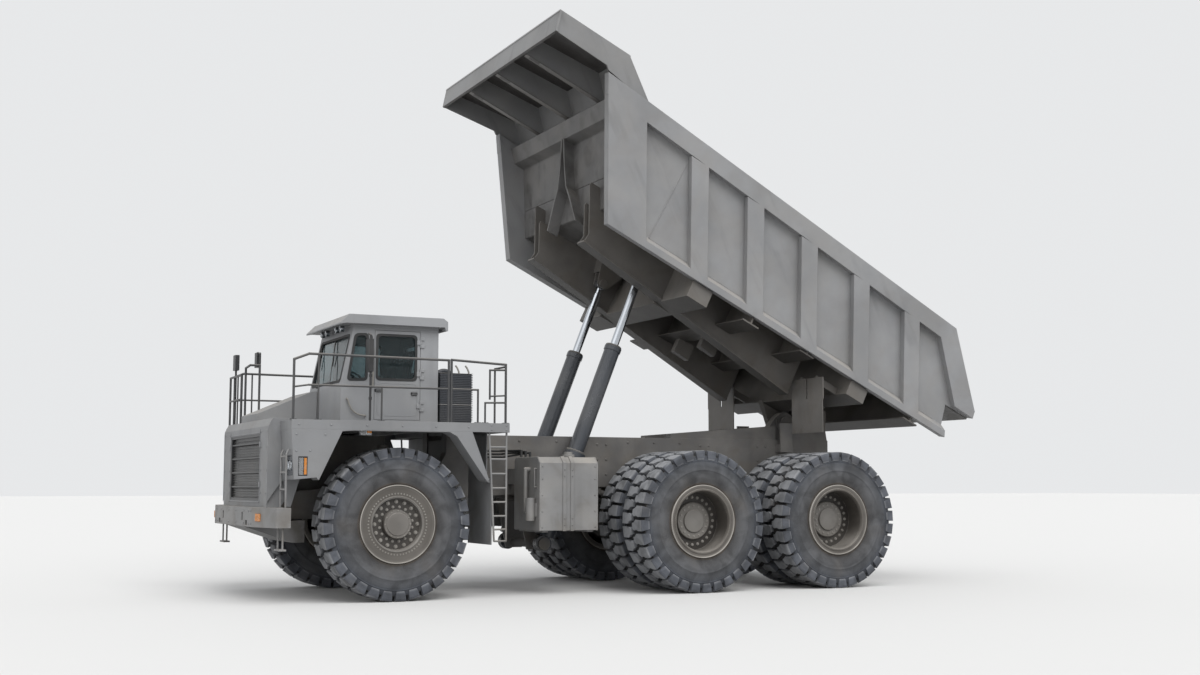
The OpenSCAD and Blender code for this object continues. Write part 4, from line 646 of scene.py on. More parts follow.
def add_box(build, low, high):
    """A box between two corners."""
    (x0, y0, z0), (x1, y1, z1) = low, high
    add_prism(build, [(x0, y0, z0), (x1, y0, z0), (x1, y1, z0), (x0, y1, z0)], Vector((0, 0, z1 - z0)))


def add_side_box(build, sign, x, y, z):
    """A box from spans: x from the front axle, y for the left side and z; sign is the side it goes on."""
    low, high = both_ways(sign, *y)
    add_box(build, at(x[0], low, z[0]), at(x[1], high, z[1]))


def bridge(build, rings, capped=False):
    """Faces between rings that have as many points each, and one on each end if capped."""
    for a, b in zip(rings, rings[1:]):
        for k in range(len(a)):
            j = (k + 1) % len(a)
            build.faces.new((a[k], a[j], b[j], b[k]))
    if capped:
        build.faces.new(list(reversed(rings[0])))
        build.faces.new(rings[-1])


def add_tube(build, points, radius, sides=10):
    """A capped round tube through points, mitred at its bends."""
    points = [Vector(p) for p in points]
    rings, across = [], None
    for i, p in enumerate(points):
        ahead = (points[min(i + 1, len(points) - 1)] - p).normalized()
        behind = (p - points[max(i - 1, 0)]).normalized()
        run = (ahead + behind).normalized()
        if across is None:
            across = run.orthogonal().normalized()
        across = (across - run * across.dot(run)).normalized()
        other = run.cross(across)
        stretch = 1.0 / max(0.5, abs(run.dot(ahead if ahead.length else behind)))
        wide = radius * (1 + (stretch - 1) * 0.5)
        turns = [2 * math.pi * k / sides for k in range(sides)]
        ways = [across * math.cos(a) + other * math.sin(a) for a in turns]
        rings.append([build.verts.new(p + way * wide) for way in ways])
    bridge(build, rings, capped=True)


def lathe(name, profile, count=96, smooth=30):
    """A solid turned about the Y axis from (radius, y) points, the last one joined to the first."""
    build = bmesh.new()
    rings = []
    for r, y in profile:
        if r == 0:
            rings.append([build.verts.new((0, y, 0))])
            continue
        turns = [2 * math.pi * k / count for k in range(count)]
        rings.append([build.verts.new((r * math.sin(a), y, r * math.cos(a))) for a in turns])
    for a, b in zip(rings, rings[1:] + rings[:1]):
        if len(a) == 1 and len(b) == 1:
            continue
        for k in range(count):
            j = (k + 1) % count
            if len(a) == 1:
                build.faces.new((a[0], b[k], b[j]))
            elif len(b) == 1:
                build.faces.new((a[k], b[0], a[j]))
            else:
                build.faces.new((a[k], b[k], b[j], a[j]))
    return to_mesh(name, build, smooth)


# Geometry node trees

def node_tree(name, inputs):
    """A geometry tree with its named inputs and a Material input: the tree, its input and output nodes."""
    tree = bpy.data.node_groups.new(name, "GeometryNodeTree")
    tree.interface.new_socket(name="Geometry", in_out="INPUT", socket_type="NodeSocketGeometry")
    for label, kind, value in inputs:
        socket = tree.interface.new_socket(name=label, in_out="INPUT", socket_type="NodeSocket" + kind)
        socket.default_value = value
    tree.interface.new_socket(name="Material", in_out="INPUT", socket_type="NodeSocketMaterial")
    tree.interface.new_socket(name="Geometry", in_out="OUTPUT", socket_type="NodeSocketGeometry")
    return tree, tree.nodes.new("NodeGroupInput"), tree.nodes.new("NodeGroupOutput")


def place_copies(tree, given, out, **wires):
    """Ends a tree: copies on points, made real and given the material."""
    placed = put(tree, "GeometryNodeInstanceOnPoints", None, **wires)
    real = put(tree, "GeometryNodeRealizeInstances", None, Geometry=placed.outputs[0])
    coat = put(tree, "GeometryNodeSetMaterial", None, Geometry=real.outputs[0],
               Material=given.outputs["Material"])
    tree.links.new(coat.outputs[0], out.inputs[0])


def make_ring_tree():
    """Repeats the piece given to it round the Y axis."""
    tree, given, out = node_tree("ring_of_pieces", [("Count", "Int", 12)])
    turn = maths(tree, "DIVIDE", 2 * math.pi, given.outputs["Count"])
    angle = maths(tree, "MULTIPLY", put(tree, "GeometryNodeInputIndex").outputs[0], turn)
    turned = put(tree, "ShaderNodeCombineXYZ", None, Y=angle)
    spots = put(tree, "GeometryNodePoints", None, Count=given.outputs["Count"])
    place_copies(tree, given, out, Points=spots.outputs[0], Instance=given.outputs[0],
                 Rotation=turned.outputs[0])
    return tree


def make_bolt_tree():
    """Puts a washer and a six-sided head at every point given to it, along the point's out attribute."""
    tree, given, out = node_tree("bolts_at_points", [("Head Radius", "Float", 0.02),
                                 ("Head Height", "Float", 0.014), ("Washer Share", "Float", 1.5)])
    wide = maths(tree, "MULTIPLY", given.outputs["Head Radius"], given.outputs["Washer Share"])
    thin = maths(tree, "MULTIPLY", given.outputs["Head Height"], 0.5)
    washer = put(tree, "GeometryNodeMeshCylinder", None, Vertices=12, Radius=wide, Depth=thin)
    head = put(tree, "GeometryNodeMeshCylinder", None, Vertices=6, Radius=given.outputs["Head Radius"],
               Depth=given.outputs["Head Height"])
    lift = put(tree, "ShaderNodeCombineXYZ", None, Z=thin)
    raised = put(tree, "GeometryNodeTransform", None, Geometry=head.outputs[0], Translation=lift.outputs[0])
    both = put(tree, "GeometryNodeJoinGeometry")
    tree.links.new(washer.outputs[0], both.inputs[0])
    tree.links.new(raised.outputs[0], both.inputs[0])
    way = put(tree, "GeometryNodeInputNamedAttribute", {"data_type": "FLOAT_VECTOR"}, Name="out")
    facing = put(tree, "FunctionNodeAlignRotationToVector", {"axis": "Z"}, Vector=way.outputs[0])
    place_copies(tree, given, out, Points=given.outputs[0], Instance=both.outputs[0],
                 Rotation=facing.outputs[0])
    return tree


def make_row_tree():
    """Repeats the piece given to it along a straight row."""
    tree, given, out = node_tree("row_of_pieces", [("Count", "Int", 6), ("Step", "Vector", (0.1, 0, 0))])
    line = put(tree, "GeometryNodeMeshLine", {"mode": "OFFSET"}, Count=given.outputs["Count"],
               Offset=given.outputs["Step"])
    place_copies(tree, given, out, Points=line.outputs[0], Instance=given.outputs[0])
    return tree


trees = {"ring": make_ring_tree(), "bolts": make_bolt_tree(), "row": make_row_tree()}


def evaluated(thing):
    """The mesh that an object's modifiers make, which then come off it."""
    view = bpy.context.evaluated_depsgraph_get()
    mesh = bpy.data.meshes.new_from_object(thing.evaluated_get(view), depsgraph=view)
    thing.modifiers.clear()
    return mesh


def grown(name, tree, mesh, **values):
    """The plain mesh that a geometry node tree makes of a mesh."""
    thing = bpy.data.objects.new(name, mesh)
    bpy.context.scene.collection.objects.link(thing)
    modifier = thing.modifiers.new(name, "NODES")
    modifier.node_group = tree
    for item in tree.interface.items_tree:
        if item.in_out == "INPUT" and item.name.replace(" ", "_") in values:
            modifier[item.identifier] = values[item.name.replace(" ", "_")]
    result = evaluated(thing)
    bpy.data.objects.remove(thing)
    return result


def bolts(name, spots, body, size=0.020, look="bolt_steel", height=0.7):
    """Bolt heads at (point, direction) pairs: size is their radius, height a share of it."""
    mesh = bpy.data.meshes.new(name)
    mesh.from_pydata([p for p, _ in spots], [], [])
    way = mesh.attributes.new("out", "FLOAT_VECTOR", "POINT")
    way.data.foreach_set("vector", [c for _, d in spots for c in Vector(d).normalized()])
    made = grown(name, trees["bolts"], mesh, Head_Radius=size, Head_Height=size * height,
                 Material=finish[look])
    return piece(name, made, look, body)


# Wheels
TYRE_HALF_W = 0.405
LUGS = 32
BEAD_R, SHOULDER_R, GROOVE_R = 0.735, 1.135, 1.24   # carcass: bead, shoulder band, grooves between lugs
LUG_TOP_R, LUG_FOOT_R = 1.335, 1.18                 # lugs: edge of the tops, foot of the side faces
# Side wall from bead to shoulder: radius, distance from the tyre's middle
SIDE_WALL = [(0.624, 0.285), (0.640, 0.318), (0.668, 0.343), (0.700, 0.356), (0.712, 0.366), (0.728, 0.366),
             (0.738, 0.364), (0.790, 0.383), (0.860, 0.400), (0.930, 0.405), (0.960, 0.4055), (0.966, 0.410),
             (0.984, 0.410), (0.990, 0.4055), (1.050, 0.403), (1.110, 0.397), (1.140, 0.393), (1.146, 0.398),
             (1.160, 0.397), (1.166, 0.389), (1.200, 0.382), (1.235, 0.371), (1.258, 0.356), (1.272, 0.335),
             (1.280, 0.300), (1.281, 0.150)]
# One lug from the tyre's middle out: distance, radius, left and right edge in degrees, and its root's
# distance and radius
LUG = [(0.028, 1.349, -1.8, 2.2, 0.028, 1.250), (0.100, 1.349, -2.4, 4.2, 0.100, 1.250),
       (0.165, 1.349, -4.6, 3.2, 0.165, 1.250), (0.255, 1.349, -4.4, 4.4, 0.255, 1.250),
       (0.365, 1.348, -4.4, 4.4, 0.345, 1.235), (0.392, 1.335, -4.4, 4.4, 0.352, 1.225),
       (0.404, 1.300, -4.2, 4.2, 0.362, 1.205), (0.407, 1.215, -3.9, 3.9, 0.368, 1.190),
       (0.399, 1.172, -3.4, 3.4, 0.372, 1.170)]


def lug_pair():
    """One lug of each shoulder ring, half a pitch apart."""
    build = bmesh.new()
    for side in (1, -1):
        turn = side * 360 / LUGS / 4
        rows = []
        for y, r, left, right, root_y, root_r in LUG:
            row = []
            for edge, yy, rr in ((left, y, r), (right, y, r),
                                 (right, root_y, root_r), (left, root_y, root_r)):
                a = math.radians(side * edge + turn)
                row.append(build.verts.new((rr * math.sin(a), side * yy, rr * math.cos(a))))
            rows.append(row)
        bridge(build, rows, capped=True)
    return to_mesh("lug_pair", build, None, 0.009, 1)


def zone_marks(mesh, carcass_points):
    """Marks each point of a tyre: 0 in the grooves, then bead, side wall, shoulder, 1 on the lugs' tops."""
    zone = mesh.attributes.new("tread_zone", "FLOAT", "POINT")
    for i, v in enumerate(mesh.vertices):
        r = math.hypot(v.co.x, v.co.z)
        if i >= carcass_points:
            mark = 1.0 if r > LUG_TOP_R else 0.92 if r < LUG_FOOT_R else 0.78
        elif r > GROOVE_R:
            mark = 0.0
        elif r > SHOULDER_R:
            mark = 0.55
        elif r < BEAD_R:
            mark = 0.10
        else:
            mark = 0.22 + 0.20 * (r - BEAD_R) / (SHOULDER_R - BEAD_R)
        zone.data[i].value = mark


def make_tyre():
    """A tyre round the Y axis: a turned carcass and its two rings of lugs."""
    profile = SIDE_WALL + [(r, -y) for r, y in reversed(SIDE_WALL)]
    carcass = lathe("carcass", profile, 120, 40)
    lugs = grown("lugs", trees["ring"], lug_pair(), Count=LUGS, Material=finish["tread_rubber"])
    tyre = joined("tyre", [carcass, lugs])
    tyre.materials.clear()
    tyre.materials.append(finish["tread_rubber"])
    zone_marks(tyre, len(carcass.vertices))
    return tyre


def wheel_centres(node):
    """Centres of the tyres in a node, inner first."""
    low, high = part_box(node)
    x, z = (low.x + high.x) / 2, HUB_Z
    if high.y - low.y < 3 * TYRE_HALF_W:
        return [Vector((x, (low.y + high.y) / 2, z))]
    ends = sorted((low.y + TYRE_HALF_W, high.y - TYRE_HALF_W), key=abs)
    return [Vector((x, y, z)) for y in ends]


def ring_points(radius, count, y, phase=0.0):
    """Points round the Y axis, each with that axis as its direction."""
    turns = [2 * math.pi * (k + phase) / count for k in range(count)]
    return [((radius * math.sin(a), y, radius * math.cos(a)), (0, 1, 0)) for a in turns]


def placed_spots(spots, place):
    """(point, direction) pairs put through a matrix."""
    return [(place @ Vector(p), place.to_3x3() @ Vector(d)) for p, d in spots]


def make_wheels():
    """Tyres with their lugs, and the rings, caps and bolts of the wheels."""
    tyre = make_tyre()
    lock = lathe("lock_ring", [(0.662, 0.350), (0.672, 0.384), (0.684, 0.388), (0.692, 0.380),
                               (0.688, 0.350)])
    lip = lathe("lip", [(0.470, 0.345), (0.474, 0.358), (0.484, 0.362), (0.496, 0.358), (0.500, 0.345)])
    front_cap = lathe("front_cap", [(0, 0.340), (0.205, 0.340), (0.205, 0.368), (0.196, 0.378),
                                    (0.120, 0.381), (0, 0.382)], 48)
    rear_cap = lathe("rear_cap", [(0, -0.005), (0.222, -0.005), (0.222, 0.027), (0.210, 0.039),
                                  (0, 0.041)], 48)
    rear_step = lathe("rear_step", [(0.560, 0.300), (0.566, 0.352), (0.585, 0.384), (0.612, 0.386),
                                    (0.622, 0.372), (0.640, 0.372), (0.646, 0.350)])
    # Rings of bolts: points, head radius
    front_sets = [(ring_points(0.535, 60, 0.358), 0.011), (ring_points(0.395, 16, 0.257), 0.024),
                  (ring_points(0.305, 16, 0.257, 0.5), 0.018), (ring_points(0.232, 12, 0.366), 0.010)]
    rear_sets = [(ring_points(0.290, 16, 0.007), 0.014), (ring_points(0.455, 24, -0.053), 0.020)]
    front_parts, rear_parts = [lock, lip, front_cap], [lock, rear_step, rear_cap]
    for place, tyres, wheel, parts, sets in (("front", "tyre_", "wheel_", front_parts, front_sets),
                                             ("mid", "tyres_", "wheels_", rear_parts, rear_sets),
                                             ("rear", "tyres_", "wheels_", rear_parts, rear_sets)):
        for side, sign in SIDES:
            spot = place + "_" + side
            centres = wheel_centres(tyres + spot)
            rubber = joined(tyres + spot + "_tread", [moved(tyre, Matrix.Translation(c)) for c in centres])
            made = piece(tyres + spot + "_tread", rubber, "tread_rubber", wheel + spot)
            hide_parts(tyres + spot)
            face = Matrix.Translation(centres[-1]) @ Matrix.Rotation(0 if sign > 0 else math.pi, 4, "Z")
            trim = joined("rim_trim_" + spot, [moved(p, face) for p in parts])
            piece("rim_trim_" + spot, trim, "rim_" + place, wheel + spot)
            for i, (spots, size) in enumerate(sets):
                bolts(f"rim_bolts_{spot}_{i}", placed_spots(spots, face), wheel + spot, size, "bolt_steel",
                      1.1)


# Cab

def convex_offset(outline, by):
    """A convex outline of 2-D points, in either order, moved out by a distance."""
    centre = sum((Vector(p) for p in outline), Vector((0, 0))) / len(outline)
    lines = []
    for i, p in enumerate(outline):
        a, b = Vector(p), Vector(outline[(i + 1) % len(outline)])
        run = (b - a).normalized()
        out = Vector((run.y, -run.x))
        if out.dot(a - centre) < 0:
            out = -out
        lines.append((a + out * by, run))
    result = []
    for (p, d), (q, e) in zip([lines[-1]] + lines[:-1], lines):
        t = ((q.x - p.x) * e.y - (q.y - p.y) * e.x) / (d.x * e.y - d.y * e.x)
        result.append(p + d * t)
    return result


def rounded(outline, radius, steps=6):
    """An outline with each corner turned into steps points on a curve."""
    result = []
    for i, p in enumerate(outline):
        a, b = outline[i - 1], outline[(i + 1) % len(outline)]
        start, end = p + (a - p).normalized() * radius, p + (b - p).normalized() * radius
        for k in range(steps + 1):
            t = k / steps
            result.append(start * (1 - t) ** 2 + p * 2 * t * (1 - t) + end * t * t)
    return result


def window_seal(name, outline, place, out, body):
    """A rubber seal round a window: a rounded band that stands proud of the wall."""
    outer = rounded(convex_offset(outline, 0.022), 0.085)
    inner = rounded(convex_offset(outline, -0.024), 0.070)
    build = bmesh.new()
    rings = [[build.verts.new(place(p.x, p.y) + out * level) for p in band]
             for band, level in ((outer, -0.004), (outer, 0.007), (inner, 0.011), (inner, -0.020))]
    bridge(build, rings + rings[:1])
    return built(name, build, "seal_rubber", body, "hose_rubber", 30)


def screen_at(y, z):
    """A point on the windscreen's outer face line."""
    return at(0.945 - (z - 3.800) * SCREEN_SLOPE, y, z)


def oblong(x, z, half_x, half_z):
    """The corners of an upright rectangle round a centre, as 2-D points."""
    return [Vector(p) for p in ((x - half_x, z - half_z), (x + half_x, z - half_z), (x + half_x, z + half_z),
                                (x - half_x, z + half_z))]


def make_window_seals():
    """Seals of the quarter, door, side, front and back windows, from outlines in x and z."""
    quarter = [(0.462, 4.735), (0.477, 3.916), (0.815, 3.906), (0.688, 4.724)]
    pane = [(-0.452, 3.930), (0.285, 3.930), (0.285, 4.735), (-0.452, 4.735)]
    for name, outline, y, body in (("seal_quarter_left", quarter, CAB_LEFT, "chassis"),
                                   ("seal_door", pane, CAB_LEFT, "cab_door"),
                                   ("seal_quarter_right", quarter, CAB_RIGHT, "chassis"),
                                   ("seal_side_right", pane, CAB_RIGHT, "chassis")):
        out = Vector((0, 1 if y > 0 else -1, 0))
        window_seal(name, outline, lambda x, z, y=y: at(x, y, z), out, body)
    middle = (CAB_LEFT + CAB_RIGHT) / 2
    window_seal("seal_screen", oblong(middle, 4.30, 0.94, 0.42), screen_at, SCREEN_OUT, "chassis")
    window_seal("seal_back", oblong(middle, 4.425, 0.75, 0.275), lambda y, z: at(-0.880, y, z),
                Vector((-1, 0, 0)), "chassis")


def make_wipers():
    """Each wiper has a pivot, a bent arm and a blade that lies along the glass."""
    build = bmesh.new()
    out = SCREEN_OUT
    for foot, tip in ((0.35, 0.02), (1.25, 0.92)):
        root, elbow = screen_at(foot, 3.845) + out * 0.015, screen_at((foot + tip) / 2, 4.20) + out * 0.035
        end = screen_at(tip, 4.50) + out * 0.012
        add_tube(build, [root, root + out * 0.03, elbow, end], 0.008, 8)
        low, high = screen_at(tip + 0.10, 4.20) + out * 0.002, screen_at(tip - 0.08, 4.68) + out * 0.002
        add_tube(build, [low, end, high], 0.011, 6)
        add_tube(build, [root - out * 0.03, root + out * 0.035], 0.024, 12)
    built("wipers", build, "black_paint", "chassis", "black_paint", 40)


def make_door_details():
    """The door's pressed panel line, and its handle and lock with their plates."""
    build = bmesh.new()
    x, z = -0.1025, 3.565
    panel = rounded(oblong(x, z, 0.3775, 0.295), 0.09)
    inner = [p + (Vector((-0.10, z)) - p) * 0.022 for p in panel]
    rings = [[build.verts.new(at(p.x, CAB_LEFT + lift, p.y)) for p in band]
             for band, lift in ((panel, -0.002), (panel, 0.003), (inner, 0.003), (inner, -0.002))]
    bridge(build, rings + rings[:1])
    built("door_pressing", build, "cab_paint", "cab_door", "body_paint", 25)

    build = bmesh.new()
    for x, z in ((0.257, 3.730), (-0.422, 3.684)):
        plate = rounded(oblong(x, z, 0.065, 0.034), 0.030)
        add_prism(build, [at(p.x, CAB_LEFT + 0.0005, p.y) for p in plate], Vector((0, 0.008, 0)))
        pull = [(-0.045, 0.008), (-0.040, 0.042), (0.040, 0.042), (0.045, 0.008)]
        add_tube(build, [at(x + dx, CAB_LEFT + dy, z + 0.006) for dx, dy in pull], 0.009, 8)
    built("door_handles", build, "black_paint", "cab_door", "black_paint", 40)


def make_grab_bars():
    """The upright bar ahead of the door and the curved grip on the cab's lower front corner."""
    build = bmesh.new()
    upright = [(0.001, 3.79), (0.060, 3.81), (0.060, 4.46), (0.001, 4.48)]
    add_tube(build, [at(0.372, CAB_LEFT + dy, z) for dy, z in upright], 0.015, 10)
    grip = [(0.838, -0.010, 3.575), (0.838, 0.045, 3.560), (0.826, 0.045, 3.545), (0.800, 0.045, 3.470),
            (0.760, 0.045, 3.385), (0.713, 0.045, 3.334), (0.655, 0.045, 3.300), (0.602, 0.045, 3.283),
            (0.501, 0.045, 3.268), (0.485, 0.001, 3.266)]
    add_tube(build, [at(x, CAB_LEFT + dy, z) for x, dy, z in grip], 0.013, 10)
    built("grab_bars", build, "bolt_steel", "chassis", "black_paint", 40)


def make_roof_details():
    """Gutter strips and bolts on the cab's roof."""
    build = bmesh.new()
    z = 5.070
    for y0, y1 in ((CAB_LEFT + 0.08, CAB_LEFT + 0.11), (CAB_RIGHT - 0.06, CAB_RIGHT - 0.03)):
        add_box(build, at(-0.90, y0, z - 0.001), at(0.80, y1, z + 0.006))
    built("roof_strips", build, "cab_paint", "chassis", "body_paint")
    spots = [(at(x, y, z), (0, 0, 1)) for x in (-0.85, -0.30, 0.25, 0.75)
             for y in (CAB_RIGHT + 0.02, CAB_LEFT + 0.03)]
    bolts("roof_bolts", spots, "chassis", 0.018, "cab_paint", height=0.4)


def make_mirror_details():
    """Mirror glasses that face back, and the clamps on the cab mirror's tube."""
    build = bmesh.new()
    for x, y0, y1, z0, z1 in ((0.520, 2.195, 2.405, 4.035, 4.585), (1.680, -1.325, -1.165, 4.325, 4.585),
                              (1.840, -2.525, -2.345, 4.345, 4.625)):
        add_box(build, at(x - 0.006, y0, z0), at(x + 0.002, y1, z1))
    built("mirror_glasses", build, "chrome", "chassis", "rod_chrome", None, 0.003, 1)
    build = bmesh.new()
    for z, half, radius in ((3.55, 0.025, 0.029), (3.95, 0.025, 0.029), (4.62, 0.025, 0.029),
                            (4.15, 0.02, 0.032), (4.45, 0.02, 0.032)):
        add_tube(build, [at(0.560, 2.370, z - half), at(0.560, 2.370, z + half)], radius, 14)
    built("mirror_clamps", build, "black_paint", "chassis", "black_paint", 40)


# Air cleaner

def make_air_cleaner():
    """Air cleaner behind the cab: a box of fine level ribs with a joint strip, and its bowed pipe."""
    x0, x1, y0, y1 = -1.552, -0.895, 1.178, 1.902
    foot = DECK_TOP + 0.0003

    def layer(build, inset, z0, z1):
        add_box(build, at(x0 + inset, y0 + inset, z0), at(x1 - inset, y1 - inset, z1))

    core, rib = bmesh.new(), bmesh.new()
    layer(core, 0.026, foot, 4.080)
    layer(rib, 0.010, 0, 0.017)
    rib = to_mesh("cleaner_rib", rib, None, 0.005, 1)
    parts = [to_mesh("cleaner_core", core, None, 0.010, 2)]
    for z, count in ((3.205, 9), (3.535, 17)):
        lifted = moved(rib, Matrix.Translation((0, 0, z)))
        parts.append(grown("cleaner_ribs", trees["row"], lifted, Count=count, Step=(0, 0, 0.0318),
                           Material=finish["cleaner_paint"]))
    pipe = bmesh.new()
    turns = [math.pi * k / 16 for k in range(17)]
    bow = [at(-1.25 + 0.18 * math.cos(a), 1.150, 4.0 + 0.18 * math.sin(a)) for a in turns]
    add_tube(pipe, [at(-1.07, 1.150, foot)] + bow + [at(-1.43, 1.150, foot)], 0.045, 20)
    parts.append(to_mesh("cleaner_pipe", pipe, 40))
    box = piece("air_cleaner_box", joined("air_cleaner_box", parts), "cleaner_paint", "chassis")
    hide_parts("air_cleaner")

    trim = bmesh.new()
    for z0, z1 in ((foot, 3.172), (3.498, 3.510), (4.078, 4.085)):
        layer(trim, 0.004, z0, z1)
    built("air_cleaner_trim", trim, "low_paint", "chassis", "body_paint", None, 0.003, 1)
    vents = bmesh.new()
    bend = [(-0.005, 4.070), (0, 4.125), (0.030, 4.190), (0.066, 4.235)]
    for x in (-1.30, -1.495):
        add_tube(vents, [at(x + dx, 1.80, z) for dx, z in bend], 0.016, 10)
    built("air_cleaner_vents", vents, "bolt_steel", "chassis", "black_paint", 40)


# Lamps
BUMPER_SWEEP = math.radians(12.5)   # the bumper's ends turn back by this much


def bowl(radius, depth):
    """A round lamp that faces +X: bezel with its reflector bowl, and domed lens."""
    face = Matrix.Rotation(-math.pi / 2, 4, "Z")
    bezel = lathe("bezel", [(radius, -depth), (radius, 0.0), (radius - 0.008, 0.006), (radius - 0.014, 0.0),
                            (radius - 0.014, -0.010), (radius * 0.35, -depth + 0.010), (0, -depth + 0.008),
                            (0, -depth)], 40)
    lens = lathe("lens", [(0, -0.009), (radius - 0.015, -0.009), (radius - 0.015, -0.004),
                          (radius * 0.6, 0.004), (0, 0.007)], 40)
    return moved(bezel, face), moved(lens, face)


def make_lamps():
    """Head lamps on the hood's corners, roof lamps, and the markers on bumper, fenders and arches."""
    bezels, lenses = [], []
    head_spots = [at(1.958, sign * y, 2.370) for _, sign in SIDES for y in (2.175, 2.385)]
    roof_spots = [at(0.862, y, 4.852) for y in (0.20, 0.50, 1.15, 1.45)]
    for spots, radius, depth in ((head_spots, 0.090, 0.040), (roof_spots, 0.053, 0.070)):
        bezel, lens = bowl(radius, depth)
        bezels += [moved(bezel, Matrix.Translation(spot)) for spot in spots]
        lenses += [moved(lens, Matrix.Translation(spot)) for spot in spots]
    back, markers, cases, clear = bmesh.new(), bmesh.new(), bmesh.new(), bmesh.new()
    for _, sign in SIDES:
        add_side_box(back, sign, (1.9003, 1.920), (2.0605, 2.4995), (2.2005, 2.5395))
    bezels.append(to_mesh("lamp_back", back, None, 0.004, 1))
    head = piece("head_lamps", joined("head_lamps", bezels), "chrome", "chassis")
    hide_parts("lamps")
    piece("head_lamp_lenses", joined("head_lamp_lenses", lenses), "clear_lens", "chassis")

    for _, sign in SIDES:
        place = Matrix.Translation(at(2.312, sign * 1.800, 1.480))
        turn = place @ Matrix.Rotation(sign * BUMPER_SWEEP, 4, "Z")
        corners = [(-0.050, -0.094, -0.064), (0.050, -0.094, -0.064), (0.050, 0.094, -0.064),
                   (-0.050, 0.094, -0.064)]
        add_prism(markers, [turn @ Vector(c) for c in corners], Vector((0, 0, 0.128)))
        # Upright side lamp: dark case, amber strip and clear lens. Arch lamp: amber over clear
        add_side_box(markers, sign, (1.712, 1.756), (2.5375, 2.551), (2.215, 2.495))
        add_side_box(markers, sign, (0.562, 0.640), (2.402, 2.498), (2.936, 2.9745))
        add_side_box(cases, sign, (1.7005, 1.8595), (2.5255, 2.541), (2.1905, 2.5195))
        add_side_box(clear, sign, (1.772, 1.848), (2.5395, 2.553), (2.210, 2.500))
        add_side_box(clear, sign, (0.646, 0.758), (2.402, 2.498), (2.902, 2.9745))
        add_side_box(clear, sign, (0.562, 0.640), (2.402, 2.498), (2.902, 2.932))
    built("marker_lamps", markers, "amber_lens", "chassis", "lamp_lens", 40, 0.005, 2)
    built("lamp_cases", cases, "black_paint", "chassis", "black_paint", 40, 0.004, 1)
    built("side_lenses", clear, "clear_lens", "chassis", "lamp_lens", 40, 0.005, 2)


# Seats
PAD_INSET, PAD_VOXEL = 0.014, 0.016       # the block starts this far inside its box; its grain
PAD_SWELL = 0.012                         # furthest that the stuffing moves a point
PAD_ROUND = 0.28                          # rounding of the block, as a share of its least size
CHANNEL_DEPTH, CHANNEL_W = 0.009, 0.014
CHANNEL_OFF = 0.28                        # channels from the pad's middle, as a share of its width


def swelled(thing):
    """The object's mesh blown up as cloth, no point moved by more than PAD_SWELL."""
    rest = [v.co.copy() for v in thing.data.vertices]
    cloth = thing.modifiers.new("cloth", "CLOTH")
    cloth.settings.quality = 4
    cloth.settings.use_pressure = True
    cloth.settings.uniform_pressure_force = 4.0
    cloth.settings.effector_weights.gravity = 0.0
    scene = bpy.context.scene
    for step in range(1, 13):
        scene.frame_set(step)
    mesh = evaluated(thing)
    for v, old in zip(mesh.vertices, rest):
        move = v.co - old
        v.co = old + move * min(1.0, PAD_SWELL / max(move.length, 1e-6))
    scene.frame_set(1)
    return mesh


def cushion(name, low, high, lean):
    build = bmesh.new()
    size = [h - l for l, h in zip(low, high)]
    add_box(build, [l + PAD_INSET for l in low], [h - PAD_INSET for h in high])
    bmesh.ops.bevel(build, geom=list(build.edges), offset=min(size) * PAD_ROUND, segments=4, affect="EDGES",
                    profile=0.6)
    thing = bpy.data.objects.new(name, to_mesh(name, build))
    bpy.context.scene.collection.objects.link(thing)
    remesh = thing.modifiers.new("remesh", "REMESH")
    remesh.mode, remesh.voxel_size = "VOXEL", PAD_VOXEL
    thing.data = evaluated(thing)
    thing.data = swelled(thing)
    # Sewn channels pressed into the top or front face, then the lean of the seat's back
    centre = [(l + h) / 2 for l, h in zip(low, high)]
    for v in thing.data.vertices:
        for line in (centre[1] - size[1] * CHANNEL_OFF, centre[1] + size[1] * CHANNEL_OFF):
            depth = CHANNEL_DEPTH * math.exp(-((v.co.y - line) / CHANNEL_W) ** 2)
            if lean and v.co.x > centre[0]:
                v.co.x -= depth
            elif not lean and v.co.z > centre[2]:
                v.co.z -= depth
        if lean:
            v.co.x -= (v.co.z - low[2]) * lean
    thing.data.shade_smooth()
    finer = thing.modifiers.new("finer", "SUBSURF")
    finer.levels = finer.render_levels = 1
    thing.data.materials.clear()
    thing.data.materials.append(finish["seat_weave"])
    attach(thing, "chassis")
    return thing


def make_seats():
    """Cushion, back pad and head pad of the driver's and the trainer's seats."""
    lean = 0.155
    for who, y, z in (("driver", 0.950, 3.600), ("trainer", 0.220, 3.560)):
        x = at(0, y, z).x
        # Pad: back edge, depth, half width, bottom, top, lean, how much stuffing
        for pad, back, deep, half, low, high, leans, fill in (
                ("cushion", x - 0.455, 0.485, 0.25, 0.001, 0.110, 0, 0.6),
                ("back_pad", x - 0.472 - 0.110 * lean, 0.125, 0.24, 0.112, 0.760, lean, 0.5),
                ("head_pad", x - 0.472 - 0.760 * lean, 0.090, 0.14, 0.762, 0.930, lean, 0.5)):
            cushion(f"{pad}_{who}", (back, y - half, z + low), (back + deep, y + half, z + high),
                                leans)
    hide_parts("seat_pads")


# Load body
RIB_FIRST, RIB_STEP, RIB_W, RIBS = 1.904, 1.423, 0.432, 5   # side ribs, along the lower edge
SHEET_LOW = 0.235                                           # top of the lower rail over the lower edge


def wall_u(d, w):
    """How far back a point d behind the front wall's face is, at a height w over the lower edge."""
    return 0.441 + d - 0.4715 * w


def rail_low(u):
    """Height of the top rail's lower edge over the lower edge."""
    return 2.4596 - 0.0397 * u - 0.358


